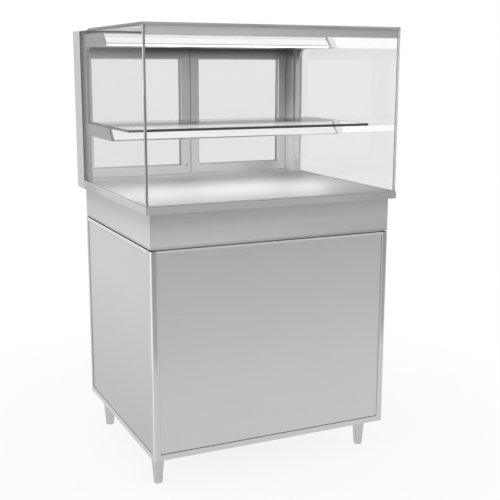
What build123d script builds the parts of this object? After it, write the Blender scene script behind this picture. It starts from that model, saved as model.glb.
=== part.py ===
from build123d import *
import os
from math import cos, radians, sin

# Main sizes in millimetres. X runs across, Y from the customer side to the rear, Z up from the floor.
# The origin is on the floor, in the middle of the overall width and depth.
LEG_HEIGHT = 108.0
CABINET_WIDTH = 818.0
CABINET_DEPTH = 700.0
CABINET_HEIGHT = 654.0
SHADOW_GAP = 4.0
COLLAR_HEIGHT = 107.0
COLLAR_INSET = 2.0
DECK_WIDTH = 850.0
DECK_THICKNESS = 22.0
DECK_OVERHANG = 16.0
REAR_OVERHANG = 40.0
GLASS_RISE = 510.0
PULL_REACH = 26.0

# Clearances: flat faces of one assembly may touch, parts that slide in get SLIP, pins run in RUNNING.
SLIP = 0.3
RUNNING = 0.05
DOOR_GAP = 2.0

# Base cabinet frame and panels
POST = 22.0
POST_WALL = 1.5
POST_ROUND = 5.0
TOP_RAIL = 14.0
BOTTOM_RAIL = 19.0
FLOOR_SHEET = 2.0
PANEL_SHEET = 1.5
PANEL_RETURN = 18.0
PANEL_RECESS = 2.0
PANEL_JOINT = 1.5
LUG_WIDTH = 30.0
LUG_SETBACK = 6.0
LUG_END_INSET = 90.0
BEARER_WIDTH = 50.0
BEARER_WALL = 2.0

# Legs and levelling feet
LEG_SIDE_SETBACK = 41.0
LEG_END_SETBACK = 84.0
LEG_TOP_RADIUS = 22.0
FOOT_RADIUS = 14.0
FOOT_HEIGHT = 22.0
FOOT_CHAMFER = 1.5
STUD_RADIUS = 5.0
STUD_LENGTH = 30.0
STUD_END_ROOM = 3.0

# Well under the deck: casing, foam, cooling coil and folded deck
CASING_SHEET = 2.0
CASING_FLANGE = 40.0
PLINTH_INSET = 10.0
PLINTH_WIDTH = 20.0
DECK_SHEET = 2.0
DECK_RETURN = 27.0
DECK_BEND = 2.5
FOAM_STEP_MARGIN = 8.0
COIL_RADIUS = 4.75
COIL_SEAT = 0.25
COIL_PASSES = 4
COIL_PITCH = 150.0
COIL_FRONT_MARGIN = 70.0
COIL_HALF_LENGTH = 320.0
COIL_TAIL_X = 350.0
COIL_TAIL_DROP = 20.0
COIL_TAIL_BEND = 15.0
COIL_TURN_FLAT = 2.0
TAIL_HOLE_MARGIN = 2.0

# Display glass
GLASS = 6.0
TOP_GLASS = 7.0
GLASS_INSET = 2.0
GLASS_FRONT_INSET = 2.0
TOP_GLASS_DEPTH = 564.0
BAND_HEIGHT = 26.0
BAND_SHEET = 1.5
BAND_TAPE = 0.5

# Rear frame, cap and side plates
COLUMN_WIDTH = 30.0
COLUMN_DEPTH = 86.0
FRAME_WALL = 2.0
HEADER_HEIGHT = 47.0
COLUMN_FOOT_DROP = 5.0
CAP_SHEET = 1.5
CAP_HEIGHT = 3.0
CAP_JOINT = 1.0
PLATE_THICKNESS = 10.0
PLATE_GLASS_GAP = 6.4
PLATE_STRIP = 39.0
ARM_CORNER = 8.0
TOP_ARM_CORNER = 30.0
BAR_ROUND = 1.5

# Shelf and light boxes, placed from the deck top and the cabinet front
SHELF_GLASS = 8.0
SHELF_FRONT = 148.0
SHELF_BACK = 565.0
SHELF_SIDE_GAP = 2.0
ARM_TOP_RISE = 202.0
ARM_HEIGHT = 40.0
ARM_TIP = 335.0
ARM_LIP_REACH = 5.0
ARM_LIP_HEIGHT = 4.0
ARM_SLANT = 34.0
BOX_DEPTH = 150.0
TOP_ARM_GAP = 10.0
TOP_ARM_HEIGHT = 42.5
TOP_ARM_TIP = 362.0
TOP_ARM_LIP_REACH = 32.0
TOP_ARM_LIP_HEIGHT = 6.0
TOP_ARM_SLANT = 38.0
TOP_BOX_DEPTH = 200.0
BOX_SHEET = 1.5
BOX_HEM = 5.0
DIFFUSER_SHEET = 3.0
LIP_EDGE = 1.0

# Rear glass doors
DOOR_THICKNESS = 24.0
DOOR_STILE = 33.0
DOOR_HINGE_STILE = 28.0
DOOR_BAR = 30.0
DOOR_TOP_BAR = 38.0
DOOR_PANE = 6.0
DOOR_PANE_BACK = 2.0
PANE_GRIP = 7.0
HINGE_INSET = 8.0
DOOR_PIN_RADIUS = 4.0
DOOR_PIN_ENGAGE = 10.0
DOOR_PIN_SEAT = 20.0
PULL_RADIUS = 5.0
PULL_LENGTH = 180.0
PULL_RISE = 240.0

# Louvred service doors of the base
SERVICE_SHEET = 1.5
SERVICE_DEPTH = 20.0
SERVICE_PIN_RADIUS = 3.0
SERVICE_PIN_ENGAGE = 7.0
SERVICE_BOSS = 16.0
LOUVRE_COUNT = 9
LOUVRE_PITCH = 26.0
LOUVRE_WIDTH = 240.0
LOUVRE_SLOT = 12.0
LOUVRE_REACH = 6.0
LOUVRE_EDGE = 1.2
LOUVRE_BOTTOM = 90.0
KNOB_RADIUS = 11.0
KNOB_REACH = 16.0
KNOB_EDGE_INSET = 30.0
KNOB_CHAMFER = 2.0

# Condensing unit in the base, placed from the cabinet's right side and back
UNIT_SIDE_ROOM = 32.0
UNIT_BACK_ROOM = 40.0
UNIT_DEPTH = 445.0
UNIT_WIDTH = 330.0
SKID_HEIGHT = 20.0
SKID_SHEET = 3.0
COMPRESSOR_SETBACK = 115.0
COMPRESSOR_RADIUS = 78.0
COMPRESSOR_HEIGHT = 180.0
COMPRESSOR_SEAM = 4.0
DOME_STEPS = 3
COMPRESSOR_FOOT = 190.0
COMPRESSOR_FOOT_SHEET = 4.0
GROMMET_RADIUS = 11.0
GROMMET_BORE = 4.0
GROMMET_HEIGHT = 14.0
GROMMET_SPREAD = 76.0
CONDENSER_WIDTH = 300.0
CONDENSER_HEIGHT = 256.0
CONDENSER_DEPTH = 44.0
CONDENSER_BACK_ROOM = 42.0
CONDENSER_CORE = 14.0
FIN_COUNT = 18
FIN_SHEET = 1.2
TUBE_ROWS = 4
BEND_RADIUS = 25.0
TUBE_RADIUS = 4.75
HOOD_DEPTH = 26.0
HOOD_SHEET = 2.0
FAN_RING_RADIUS = 106.0
FAN_RING_LENGTH = 20.0
FAN_RADIUS = 100.0
FAN_HUB_RADIUS = 22.0
FAN_HUB_LENGTH = 20.0
FAN_BLADES = 5
BLADE_THICKNESS = 2.0
BLADE_ROOT_CHORD = 34.0
BLADE_TIP_CHORD = 52.0
BLADE_ROOT_PITCH = 38.0
BLADE_TIP_PITCH = 20.0
SHAFT_RADIUS = 4.0
SHAFT_ENGAGE = 24.0
MOTOR_RADIUS = 38.0
MOTOR_LENGTH = 58.0
MOTOR_FAN_GAP = 6.0
BRACKET_WIDTH = 14.0
BRACKET_SHEET = 3.0
STANDOFF_RADIUS = 5.0
STANDOFF_SPREAD = 118.0
DRIER_SETBACK = 35.0
DRIER_SIDE_ROOM = 5.0
DRIER_RADIUS = 18.0
DRIER_LENGTH = 110.0
DRIER_NECK = 5.5
PIPE_RADIUS = 4.75
PIPE_BEND = 20.0
PIPE_DROP = 60.0
PIPE_SIDE_ROOM = 40.0
GLAND_SIDE_ROOM = 37.0
GLAND_BACK_ROOM = 90.0
GLAND_BARREL = 8.0
GLAND_NUT = 11.0
GLAND_BORE = 4.5
GLAND_HEIGHT = 9.0
GLAND_LENGTH = 27.0

# Controls on the rear of the collar
CONTROL_X = -180.0
CONTROL_RISE = 58.0
CONTROLLER_WIDTH = 78.0
CONTROLLER_HEIGHT = 36.0
CONTROLLER_BEZEL = 3.0
CONTROLLER_BODY = 50.0
CONTROLLER_BODY_WIDTH = 70.0
CONTROLLER_BODY_HEIGHT = 28.0
WINDOW_WIDTH = 34.0
WINDOW_HEIGHT = 18.0
WINDOW_DEPTH = 1.0
SWITCH_SPACING = 40.0
SWITCH_OFFSET = 80.0
ROCKER_RADIUS = 11.0
ROCKER_WIDTH = 12.0
ROCKER_CREST = 3.0
ROCKER_FALL = 10.0
ROCKER_TILT = 10.0
ROCKER_PIN = 1.5
ROCKER_PIN_ENGAGE = 2.0
SWITCH_WALL = 3.5
SWITCH_BEZEL = 1.8
SWITCH_BODY = 24.0
POCKET_MARGIN = 12.0
POCKET_DEPTH = 60.0

# Screws
SCREW_HEAD_RADIUS = 4.0
SCREW_HEAD_HEIGHT = 2.2
PLATE_SCREW_RISES = (20.0, 103.0, 380.0)

# Levels and lines that follow from the sizes above
OVERALL_DEPTH = DECK_OVERHANG + CABINET_DEPTH + REAR_OVERHANG + PULL_REACH
Y_DECK = -OVERALL_DEPTH / 2
Y_FRONT = Y_DECK + DECK_OVERHANG
Y_BACK = Y_FRONT + CABINET_DEPTH
Y_REAR = Y_BACK + REAR_OVERHANG
Y_COLUMN = Y_REAR - COLUMN_DEPTH
Y_MIDDLE = (Y_FRONT + Y_BACK) / 2
Z_CABINET = LEG_HEIGHT
Z_FLOOR_SHEET = Z_CABINET + BOTTOM_RAIL
Z_CABINET_TOP = Z_CABINET + CABINET_HEIGHT
Z_COLLAR = Z_CABINET_TOP + SHADOW_GAP
Z_COLLAR_TOP = Z_COLLAR + COLLAR_HEIGHT
Z_DECK = Z_COLLAR_TOP + DECK_THICKNESS
Z_GLASS_TOP = Z_DECK + GLASS_RISE
Z_TOP = Z_GLASS_TOP + TOP_GLASS
HALF_CABINET = CABINET_WIDTH / 2
HALF_COLLAR = HALF_CABINET - COLLAR_INSET
HALF_DECK = DECK_WIDTH / 2
HALF_GLASS = HALF_DECK - GLASS_INSET
HALF_OPENING = HALF_DECK - COLUMN_WIDTH
PLATE_OUTER = HALF_GLASS - GLASS - PLATE_GLASS_GAP
PLATE_INNER = PLATE_OUTER - PLATE_THICKNESS
SIDES = ((-1, "left"), (1, "right"))

os.makedirs("parts", exist_ok=True)


def keep(built, name):
    """Label a finished piece and write it to its own file."""
    built.part.label = name
    export_step(built.part, f"parts/{name}.step")


def block(x, y, z, mode=Mode.ADD):
    """Straight-sided block between a low and a high limit on each axis."""
    with Locations(((x[0] + x[1]) / 2, (y[0] + y[1]) / 2, (z[0] + z[1]) / 2)):
        Box(x[1] - x[0], y[1] - y[0], z[1] - z[0], mode=mode)


def hollow_bar(plane, centre, width, height, length, wall):
    """Rectangular tube with softly rounded edges, drawn round a centre on a plane along its normal."""
    with BuildSketch(plane) as section:
        with Locations(centre):
            RectangleRounded(width, height, BAR_ROUND)
            Rectangle(width - 2 * wall, height - 2 * wall, mode=Mode.SUBTRACT)
    extrude(section.sketch, amount=length)


def outline(plane, points, amount):
    """Closed outline on a plane, drawn out along its normal."""
    with BuildSketch(plane) as section:
        with BuildLine():
            Polyline(*points, close=True)
        make_face()
    extrude(section.sketch, amount=amount)


def turned(x, y, points):
    """Upright turned piece: a closed outline of radius and height, spun about its own axis."""
    with BuildSketch(Plane(origin=(x, y, 0), x_dir=(1, 0, 0), z_dir=(0, -1, 0))) as section:
        with BuildLine():
            Polyline(*points, close=True)
        make_face()
    revolve(section.sketch, axis=Axis((x, y, 0), (0, 0, 1)))


def pipe(points, radius, bend):
    """Round tube along straight runs joined by tangent bends."""
    with BuildLine() as route:
        FilletPolyline(*points, radius=bend)
    path = route.wires()[0]
    with BuildSketch(Plane(origin=path @ 0, z_dir=path % 0)) as section:
        Circle(radius)
    sweep(section.sketch, path=path)


def rod(start, direction, radius, length, mode=Mode.ADD):
    """Round bar, or round hole, from a point along a direction."""
    with BuildSketch(Plane(origin=start, z_dir=direction)) as section:
        Circle(radius)
    extrude(section.sketch, amount=length, mode=mode)


# Frame of the base cabinet: four tube posts with rounded outer corners, and rails between them
with BuildPart() as corner_posts:
    for side, _ in SIDES:
        for y_post in (Y_FRONT + POST / 2, Y_BACK - POST / 2):
            with BuildSketch(Plane.XY.offset(Z_CABINET)) as section:
                with Locations((side * (HALF_CABINET - POST / 2), y_post)):
                    Rectangle(POST, POST)
                outer_corner = section.vertices().sort_by_distance((0, Y_MIDDLE, 0))[-1]
                fillet(outer_corner, POST_ROUND)
                with Locations((side * (HALF_CABINET - POST / 2), y_post)):
                    Rectangle(POST - 2 * POST_WALL, POST - 2 * POST_WALL, mode=Mode.SUBTRACT)
            extrude(amount=CABINET_HEIGHT)
keep(corner_posts, "corner_posts")

RAIL_HALF = HALF_CABINET - POST
SERVICE_PIN_X = RAIL_HALF - DOOR_GAP - HINGE_INSET
SERVICE_PIN_Y = Y_BACK - PANEL_RECESS - HINGE_INSET
GLAND_PLACE = (BEARER_WIDTH + GLAND_SIDE_ROOM - RAIL_HALF, Y_BACK - GLAND_BACK_ROOM)
for rail_height, z_rail, name in (
    (TOP_RAIL, Z_CABINET_TOP - TOP_RAIL / 2, "top_rails"),
    (BOTTOM_RAIL, Z_CABINET + BOTTOM_RAIL / 2, "bottom_rails"),
):
    with BuildPart() as rails:
        for y_rail in (Y_FRONT + POST / 2, Y_BACK - POST / 2):
            hollow_bar(Plane.YZ.offset(-RAIL_HALF), (y_rail, z_rail), POST, rail_height, 2 * RAIL_HALF, POST_WALL)
        for side, _ in SIDES:
            hollow_bar(
                Plane.XZ.offset(POST - Y_BACK),
                (side * (HALF_CABINET - POST / 2), z_rail),
                POST,
                rail_height,
                CABINET_DEPTH - 2 * POST,
                POST_WALL,
            )
            rod(
                (side * SERVICE_PIN_X, SERVICE_PIN_Y, z_rail - rail_height),
                (0, 0, 1),
                SERVICE_PIN_RADIUS + RUNNING,
                2 * rail_height,
                Mode.SUBTRACT,
            )
    keep(rails, name)

with BuildPart() as leg_bearers:
    for side, _ in SIDES:
        hollow_bar(
            Plane.XZ.offset(POST - Y_BACK),
            (side * (RAIL_HALF - BEARER_WIDTH / 2), Z_CABINET + (BOTTOM_RAIL - FLOOR_SHEET) / 2),
            BEARER_WIDTH,
            BOTTOM_RAIL - FLOOR_SHEET,
            CABINET_DEPTH - 2 * POST,
            BEARER_WALL,
        )
keep(leg_bearers, "leg_bearers")

with BuildPart() as base_floor:
    block(
        (-RAIL_HALF, RAIL_HALF),
        (Y_FRONT + POST, Y_BACK - POST),
        (Z_FLOOR_SHEET - FLOOR_SHEET, Z_FLOOR_SHEET),
    )
    rod(
        (*GLAND_PLACE, Z_CABINET),
        (0, 0, 1),
        GLAND_BARREL + SLIP,
        2 * BOTTOM_RAIL,
        Mode.SUBTRACT,
    )
keep(base_floor, "base_floor")

# Inset panels: folded pans between posts and rails, with a fine joint all round.
# Two lugs under each pan stand on the bottom rail and keep that joint open.
Z_LUG = (Z_FLOOR_SHEET, Z_FLOOR_SHEET + PANEL_JOINT + PANEL_SHEET)
Z_PANEL = (Z_FLOOR_SHEET + PANEL_JOINT, Z_CABINET_TOP - TOP_RAIL - PANEL_JOINT)
Z_PANEL_INSIDE = (Z_PANEL[0] + PANEL_SHEET, Z_PANEL[1] - PANEL_SHEET)
with BuildPart() as front_panel:
    half = RAIL_HALF - PANEL_JOINT
    y_face = Y_FRONT + PANEL_RECESS
    block((-half, half), (y_face, y_face + PANEL_RETURN), Z_PANEL)
    block(
        (PANEL_SHEET - half, half - PANEL_SHEET),
        (y_face + PANEL_SHEET, y_face + PANEL_RETURN),
        Z_PANEL_INSIDE,
        Mode.SUBTRACT,
    )
    for x_lug in (LUG_END_INSET - half, half - LUG_END_INSET - LUG_WIDTH):
        block((x_lug, x_lug + LUG_WIDTH), (y_face + LUG_SETBACK, y_face + PANEL_RETURN), Z_LUG)
keep(front_panel, "front_panel")

for side, word in SIDES:
    with BuildPart() as side_panel:
        x_face = side * (HALF_CABINET - PANEL_RECESS)
        x_back = x_face - side * PANEL_RETURN
        x_sheet = x_face - side * PANEL_SHEET
        y_low, y_high = Y_FRONT + POST + PANEL_JOINT, Y_BACK - POST - PANEL_JOINT
        block(sorted((x_face, x_back)), (y_low, y_high), Z_PANEL)
        block(
            sorted((x_sheet, x_back)),
            (y_low + PANEL_SHEET, y_high - PANEL_SHEET),
            Z_PANEL_INSIDE,
            Mode.SUBTRACT,
        )
        for y_lug in (y_low + LUG_END_INSET, y_high - LUG_END_INSET - LUG_WIDTH):
            block(sorted((x_face - side * LUG_SETBACK, x_back)), (y_lug, y_lug + LUG_WIDTH), Z_LUG)
    keep(side_panel, f"{word}_panel")

# Legs with a tapering outline that the levelling foot carries on to the floor
LEG_X = HALF_CABINET - LEG_SIDE_SETBACK
LEG_YS = ((Y_FRONT + LEG_END_SETBACK, "front"), (Y_BACK - LEG_END_SETBACK, "rear"))
LEG_SLOPE = (LEG_TOP_RADIUS - FOOT_RADIUS) / LEG_HEIGHT
Z_LEG = FOOT_HEIGHT + SLIP
with BuildPart() as legs:
    for side, _ in SIDES:
        for y_leg, _ in LEG_YS:
            z_bore = FOOT_HEIGHT + STUD_LENGTH + STUD_END_ROOM
            bore = STUD_RADIUS + RUNNING
            turned(
                side * LEG_X,
                y_leg,
                (
                    (bore, Z_LEG),
                    (FOOT_RADIUS + LEG_SLOPE * Z_LEG, Z_LEG),
                    (LEG_TOP_RADIUS, LEG_HEIGHT),
                    (0, LEG_HEIGHT),
                    (0, z_bore),
                    (bore, z_bore),
                ),
            )
keep(legs, "legs")

for side, word in SIDES:
    for y_leg, end in LEG_YS:
        with BuildPart() as foot:
            turned(
                side * LEG_X,
                y_leg,
                (
                    (0, 0),
                    (FOOT_RADIUS - FOOT_CHAMFER, 0),
                    (FOOT_RADIUS, FOOT_CHAMFER),
                    (FOOT_RADIUS + LEG_SLOPE * FOOT_HEIGHT, FOOT_HEIGHT),
                    (STUD_RADIUS, FOOT_HEIGHT),
                    (STUD_RADIUS, FOOT_HEIGHT + STUD_LENGTH),
                    (0, FOOT_HEIGHT + STUD_LENGTH),
                ),
            )
        keep(foot, f"foot_{end}_{word}")

# Well under the deck: a folded casing on a set-back plinth, foam, and the cooling coil
Y_COLLAR = (Y_FRONT + COLLAR_INSET, Y_BACK - COLLAR_INSET)
CONTROL_Z = Z_COLLAR + CONTROL_RISE
SWITCH_XS = (CONTROL_X + SWITCH_OFFSET, CONTROL_X + SWITCH_OFFSET + SWITCH_SPACING)
SWITCH_CUT_WIDTH = ROCKER_WIDTH + 2 * SLIP + 2 * SWITCH_WALL
SWITCH_CUT_HEIGHT = 2 * (ROCKER_RADIUS + SLIP + SWITCH_WALL)
with BuildPart() as well_casing:
    block((-HALF_COLLAR, HALF_COLLAR), Y_COLLAR, (Z_COLLAR, Z_COLLAR_TOP))
    inside = HALF_COLLAR - CASING_SHEET
    block(
        (-inside, inside),
        (Y_COLLAR[0] + CASING_SHEET, Y_COLLAR[1] - CASING_SHEET),
        (Z_COLLAR + CASING_SHEET, Z_COLLAR_TOP),
        Mode.SUBTRACT,
    )
    block(
        (CASING_FLANGE - inside, inside - CASING_FLANGE),
        (Y_COLLAR[0] + CASING_FLANGE, Y_COLLAR[1] - CASING_FLANGE),
        (Z_COLLAR, Z_COLLAR + CASING_SHEET),
        Mode.SUBTRACT,
    )
    with BuildSketch(Plane.XY.offset(Z_CABINET_TOP)):
        with Locations((0, Y_MIDDLE)):
            plinth_width = CABINET_WIDTH - 2 * PLINTH_INSET
            plinth_depth = CABINET_DEPTH - 2 * PLINTH_INSET
            Rectangle(plinth_width, plinth_depth)
            Rectangle(plinth_width - 2 * PLINTH_WIDTH, plinth_depth - 2 * PLINTH_WIDTH, mode=Mode.SUBTRACT)
    extrude(amount=SHADOW_GAP)
    y_wall = (Y_COLLAR[1] - CASING_SHEET, Y_COLLAR[1])
    block(
        (CONTROL_X - CONTROLLER_BODY_WIDTH / 2 - SLIP, CONTROL_X + CONTROLLER_BODY_WIDTH / 2 + SLIP),
        y_wall,
        (CONTROL_Z - CONTROLLER_BODY_HEIGHT / 2 - SLIP, CONTROL_Z + CONTROLLER_BODY_HEIGHT / 2 + SLIP),
        Mode.SUBTRACT,
    )
    for x_switch in SWITCH_XS:
        block(
            (x_switch - SWITCH_CUT_WIDTH / 2 - SLIP, x_switch + SWITCH_CUT_WIDTH / 2 + SLIP),
            y_wall,
            (CONTROL_Z - SWITCH_CUT_HEIGHT / 2 - SLIP, CONTROL_Z + SWITCH_CUT_HEIGHT / 2 + SLIP),
            Mode.SUBTRACT,
        )
keep(well_casing, "well_casing")

Y_DECK_END = Y_COLUMN
Z_COIL = Z_DECK - DECK_SHEET - COIL_SEAT - COIL_RADIUS
Z_FOAM_TOP = Z_COIL - COIL_RADIUS - COIL_SEAT
COIL_Y = Y_FRONT + COIL_FRONT_MARGIN
COIL_END_Y = COIL_Y + (COIL_PASSES - 1) * COIL_PITCH
with BuildPart() as well_insulation:
    block(
        (-inside, inside),
        (Y_COLLAR[0] + CASING_SHEET, Y_COLLAR[1] - CASING_SHEET),
        (Z_COLLAR + CASING_SHEET, Z_COLLAR_TOP),
    )
    step = HALF_DECK - DECK_RETURN - FOAM_STEP_MARGIN
    block(
        (-step, step),
        (Y_DECK + DECK_RETURN + FOAM_STEP_MARGIN, Y_DECK_END - DECK_RETURN - FOAM_STEP_MARGIN),
        (Z_COLLAR_TOP, Z_FOAM_TOP),
    )
    block(
        (CONTROL_X - CONTROLLER_WIDTH / 2 - POCKET_MARGIN, SWITCH_XS[1] + SWITCH_CUT_WIDTH / 2 + POCKET_MARGIN),
        (Y_COLLAR[1] - CASING_SHEET - POCKET_DEPTH, Y_COLLAR[1] - CASING_SHEET),
        (Z_COLLAR + CASING_SHEET, CONTROL_Z + SWITCH_CUT_HEIGHT / 2 + POCKET_MARGIN),
        Mode.SUBTRACT,
    )
    for y_tail in (COIL_Y, COIL_END_Y):
        rod(
            (COIL_TAIL_X, y_tail, Z_COLLAR),
            (0, 0, 1),
            COIL_RADIUS + TAIL_HOLE_MARGIN,
            COLLAR_HEIGHT + DECK_THICKNESS,
            Mode.SUBTRACT,
        )
        room = COIL_RADIUS + TAIL_HOLE_MARGIN
        block(
            (COIL_TAIL_X - COIL_TAIL_BEND, COIL_TAIL_X),
            (y_tail - room, y_tail + room),
            (Z_FOAM_TOP - COIL_TAIL_BEND, Z_FOAM_TOP),
            Mode.SUBTRACT,
        )
keep(well_insulation, "well_insulation")

with BuildPart() as evaporator_coil:
    Z_TAIL = Z_COLLAR - COIL_TAIL_DROP
    corners = [(COIL_TAIL_X, COIL_Y, Z_TAIL), (COIL_TAIL_X, COIL_Y, Z_COIL)]
    x_turn = -COIL_HALF_LENGTH
    for row in range(COIL_PASSES - 1):
        y_row = COIL_Y + row * COIL_PITCH
        corners += [(x_turn, y_row, Z_COIL), (x_turn, y_row + COIL_PITCH, Z_COIL)]
        x_turn = -x_turn
    corners += [(COIL_TAIL_X, COIL_END_Y, Z_COIL), (COIL_TAIL_X, COIL_END_Y, Z_TAIL)]
    turn_radius = (COIL_PITCH - COIL_TURN_FLAT) / 2
    bends = [COIL_TAIL_BEND] + [turn_radius] * (2 * (COIL_PASSES - 1)) + [COIL_TAIL_BEND]
    pipe(corners, COIL_RADIUS, bends)
keep(evaporator_coil, "evaporator_coil")

# Worktop deck: one sheet folded down at the rim and back in underneath, with a soft bend on top
with BuildPart() as deck_plate:
    block((-HALF_DECK, HALF_DECK), (Y_DECK, Y_DECK_END), (Z_COLLAR_TOP, Z_DECK))
    rim = deck_plate.faces().sort_by(Axis.Z)[-1].edges().sort_by(Axis.Y)[:-1]
    fillet(rim, DECK_BEND)
    block(
        (DECK_SHEET - HALF_DECK, HALF_DECK - DECK_SHEET),
        (Y_DECK + DECK_SHEET, Y_DECK_END - DECK_SHEET),
        (Z_COLLAR_TOP + DECK_SHEET, Z_DECK - DECK_SHEET),
        Mode.SUBTRACT,
    )
    block(
        (DECK_RETURN - HALF_DECK, HALF_DECK - DECK_RETURN),
        (Y_DECK + DECK_RETURN, Y_DECK_END - DECK_RETURN),
        (Z_COLLAR_TOP, Z_COLLAR_TOP + DECK_SHEET),
        Mode.SUBTRACT,
    )
keep(deck_plate, "deck_plate")

# Display glass: front and side panes stand on the deck, the top pane lies on them
Y_GLASS = Y_DECK + GLASS_FRONT_INSET
Y_GLASS_BACK = Y_GLASS + GLASS
with BuildPart() as front_glass:
    block((-HALF_GLASS, HALF_GLASS), (Y_GLASS, Y_GLASS_BACK), (Z_DECK, Z_GLASS_TOP))
keep(front_glass, "front_glass")

for side, word in SIDES:
    with BuildPart() as side_glass:
        block(
            sorted((side * (HALF_GLASS - GLASS), side * HALF_GLASS)),
            (Y_GLASS_BACK, Y_COLUMN),
            (Z_DECK, Z_GLASS_TOP),
        )
    keep(side_glass, f"{word}_glass")

Y_TOP_GLASS_END = Y_GLASS + TOP_GLASS_DEPTH
with BuildPart() as top_glass:
    block((-HALF_GLASS, HALF_GLASS), (Y_GLASS, Y_TOP_GLASS_END), (Z_GLASS_TOP, Z_TOP))
keep(top_glass, "top_glass")

with BuildPart() as front_band:
    half_band = HALF_GLASS - GLASS - SLIP
    block(
        (-half_band, half_band),
        (Y_GLASS_BACK + BAND_TAPE, Y_GLASS_BACK + BAND_TAPE + BAND_SHEET),
        (Z_GLASS_TOP - BAND_HEIGHT, Z_GLASS_TOP),
    )
keep(front_band, "front_band")

# Rear frame: two box columns, a header and a sill round the door opening
Z_DOOR_HEAD = Z_GLASS_TOP - HEADER_HEIGHT
with BuildPart() as rear_columns:
    for side, _ in SIDES:
        hollow_bar(
            Plane.XY.offset(Z_COLLAR_TOP - COLUMN_FOOT_DROP),
            (side * (HALF_DECK - COLUMN_WIDTH / 2), Y_COLUMN + COLUMN_DEPTH / 2),
            COLUMN_WIDTH,
            COLUMN_DEPTH,
            Z_GLASS_TOP - Z_COLLAR_TOP + COLUMN_FOOT_DROP,
            FRAME_WALL,
        )
    block(
        (-HALF_CABINET, HALF_CABINET),
        (Y_COLUMN, Y_BACK),
        (Z_COLLAR_TOP - COLUMN_FOOT_DROP, Z_COLLAR_TOP),
        Mode.SUBTRACT,
    )
keep(rear_columns, "rear_columns")

DOOR_PIN_X = HALF_OPENING - DOOR_GAP - HINGE_INSET
DOOR_PIN_Y = Y_REAR - HINGE_INSET
for z_low, z_high, name in (
    (Z_COLLAR_TOP, Z_DECK, "rear_sill"),
    (Z_DOOR_HEAD, Z_GLASS_TOP, "rear_header"),
):
    with BuildPart() as rail:
        hollow_bar(
            Plane.YZ.offset(-HALF_OPENING),
            (Y_COLUMN + COLUMN_DEPTH / 2, (z_low + z_high) / 2),
            COLUMN_DEPTH,
            z_high - z_low,
            2 * HALF_OPENING,
            FRAME_WALL,
        )
        z_wall = Z_DECK - FRAME_WALL if name == "rear_sill" else Z_DOOR_HEAD
        for side, _ in SIDES:
            rod(
                (side * DOOR_PIN_X, DOOR_PIN_Y, z_wall),
                (0, 0, 1),
                DOOR_PIN_RADIUS + RUNNING,
                FRAME_WALL,
                Mode.SUBTRACT,
            )
    keep(rail, name)

with BuildPart() as top_cap:
    y_cap = Y_TOP_GLASS_END + CAP_JOINT
    z_cap = Z_GLASS_TOP + CAP_HEIGHT
    block((-HALF_DECK, HALF_DECK), (y_cap, Y_REAR), (Z_GLASS_TOP, z_cap))
    block(
        (CAP_SHEET - HALF_DECK, HALF_DECK - CAP_SHEET),
        (y_cap + CAP_SHEET, Y_REAR - CAP_SHEET),
        (Z_GLASS_TOP, z_cap - CAP_SHEET),
        Mode.SUBTRACT,
    )
keep(top_cap, "top_cap")

# Light box profile, front and back, shared by the arms of the side plates and the boxes between them
Z_ARM_TOP = Z_DECK + ARM_TOP_RISE
Z_ARM = Z_ARM_TOP - ARM_HEIGHT
Z_TOP_ARM_TOP = Z_GLASS_TOP - TOP_ARM_GAP
Z_TOP_ARM = Z_TOP_ARM_TOP - TOP_ARM_HEIGHT
Y_STRIP = Y_COLUMN - PLATE_STRIP


def arm_front(y_tip, lip_reach, lip_height, slant, z_bottom, z_top):
    """Front of an arm from its upper corner down: slanting face, lip and the lip's blunt tip."""
    return [
        (y_tip + lip_reach + slant, z_top),
        (y_tip + lip_reach, z_bottom + lip_height),
        (y_tip, z_bottom + LIP_EDGE),
        (y_tip, z_bottom),
    ]


SHELF_ARM = arm_front(Y_FRONT + ARM_TIP, ARM_LIP_REACH, ARM_LIP_HEIGHT, ARM_SLANT, Z_ARM, Z_ARM_TOP)
TOP_ARM = arm_front(
    Y_FRONT + TOP_ARM_TIP, TOP_ARM_LIP_REACH, TOP_ARM_LIP_HEIGHT, TOP_ARM_SLANT, Z_TOP_ARM, Z_TOP_ARM_TOP
)

# Side plates: an upright strip with two cantilever arms
for side, word in SIDES:
    with BuildPart() as side_plate:
        with BuildSketch(Plane.YZ.offset(min(side * PLATE_INNER, side * PLATE_OUTER))) as shape:
            with BuildLine():
                Polyline(
                    (Y_COLUMN, Z_DECK),
                    (Y_COLUMN, Z_TOP_ARM_TOP),
                    *TOP_ARM,
                    (Y_STRIP, Z_TOP_ARM),
                    (Y_STRIP, Z_ARM_TOP),
                    *SHELF_ARM,
                    (Y_STRIP, Z_ARM),
                    (Y_STRIP, Z_DECK),
                    close=True,
                )
            make_face()
            strip_edge = shape.vertices().filter_by(lambda v: abs(v.X - Y_STRIP) < SLIP).sort_by(Axis.Y)
            fillet(strip_edge[-1], TOP_ARM_CORNER)
            strip_edge = shape.vertices().filter_by(lambda v: abs(v.X - Y_STRIP) < SLIP).sort_by(Axis.Y)
            fillet(strip_edge[1:3], ARM_CORNER)
        extrude(amount=PLATE_THICKNESS)
    keep(side_plate, f"side_plate_{word}")

HALF_BOX = PLATE_INNER - SLIP
with BuildPart() as shelf_glass:
    half_shelf = HALF_GLASS - GLASS - SHELF_SIDE_GAP
    block(
        (-half_shelf, half_shelf),
        (Y_FRONT + SHELF_FRONT, Y_FRONT + SHELF_BACK),
        (Z_ARM_TOP, Z_ARM_TOP + SHELF_GLASS),
    )
keep(shelf_glass, "shelf_glass")

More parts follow.
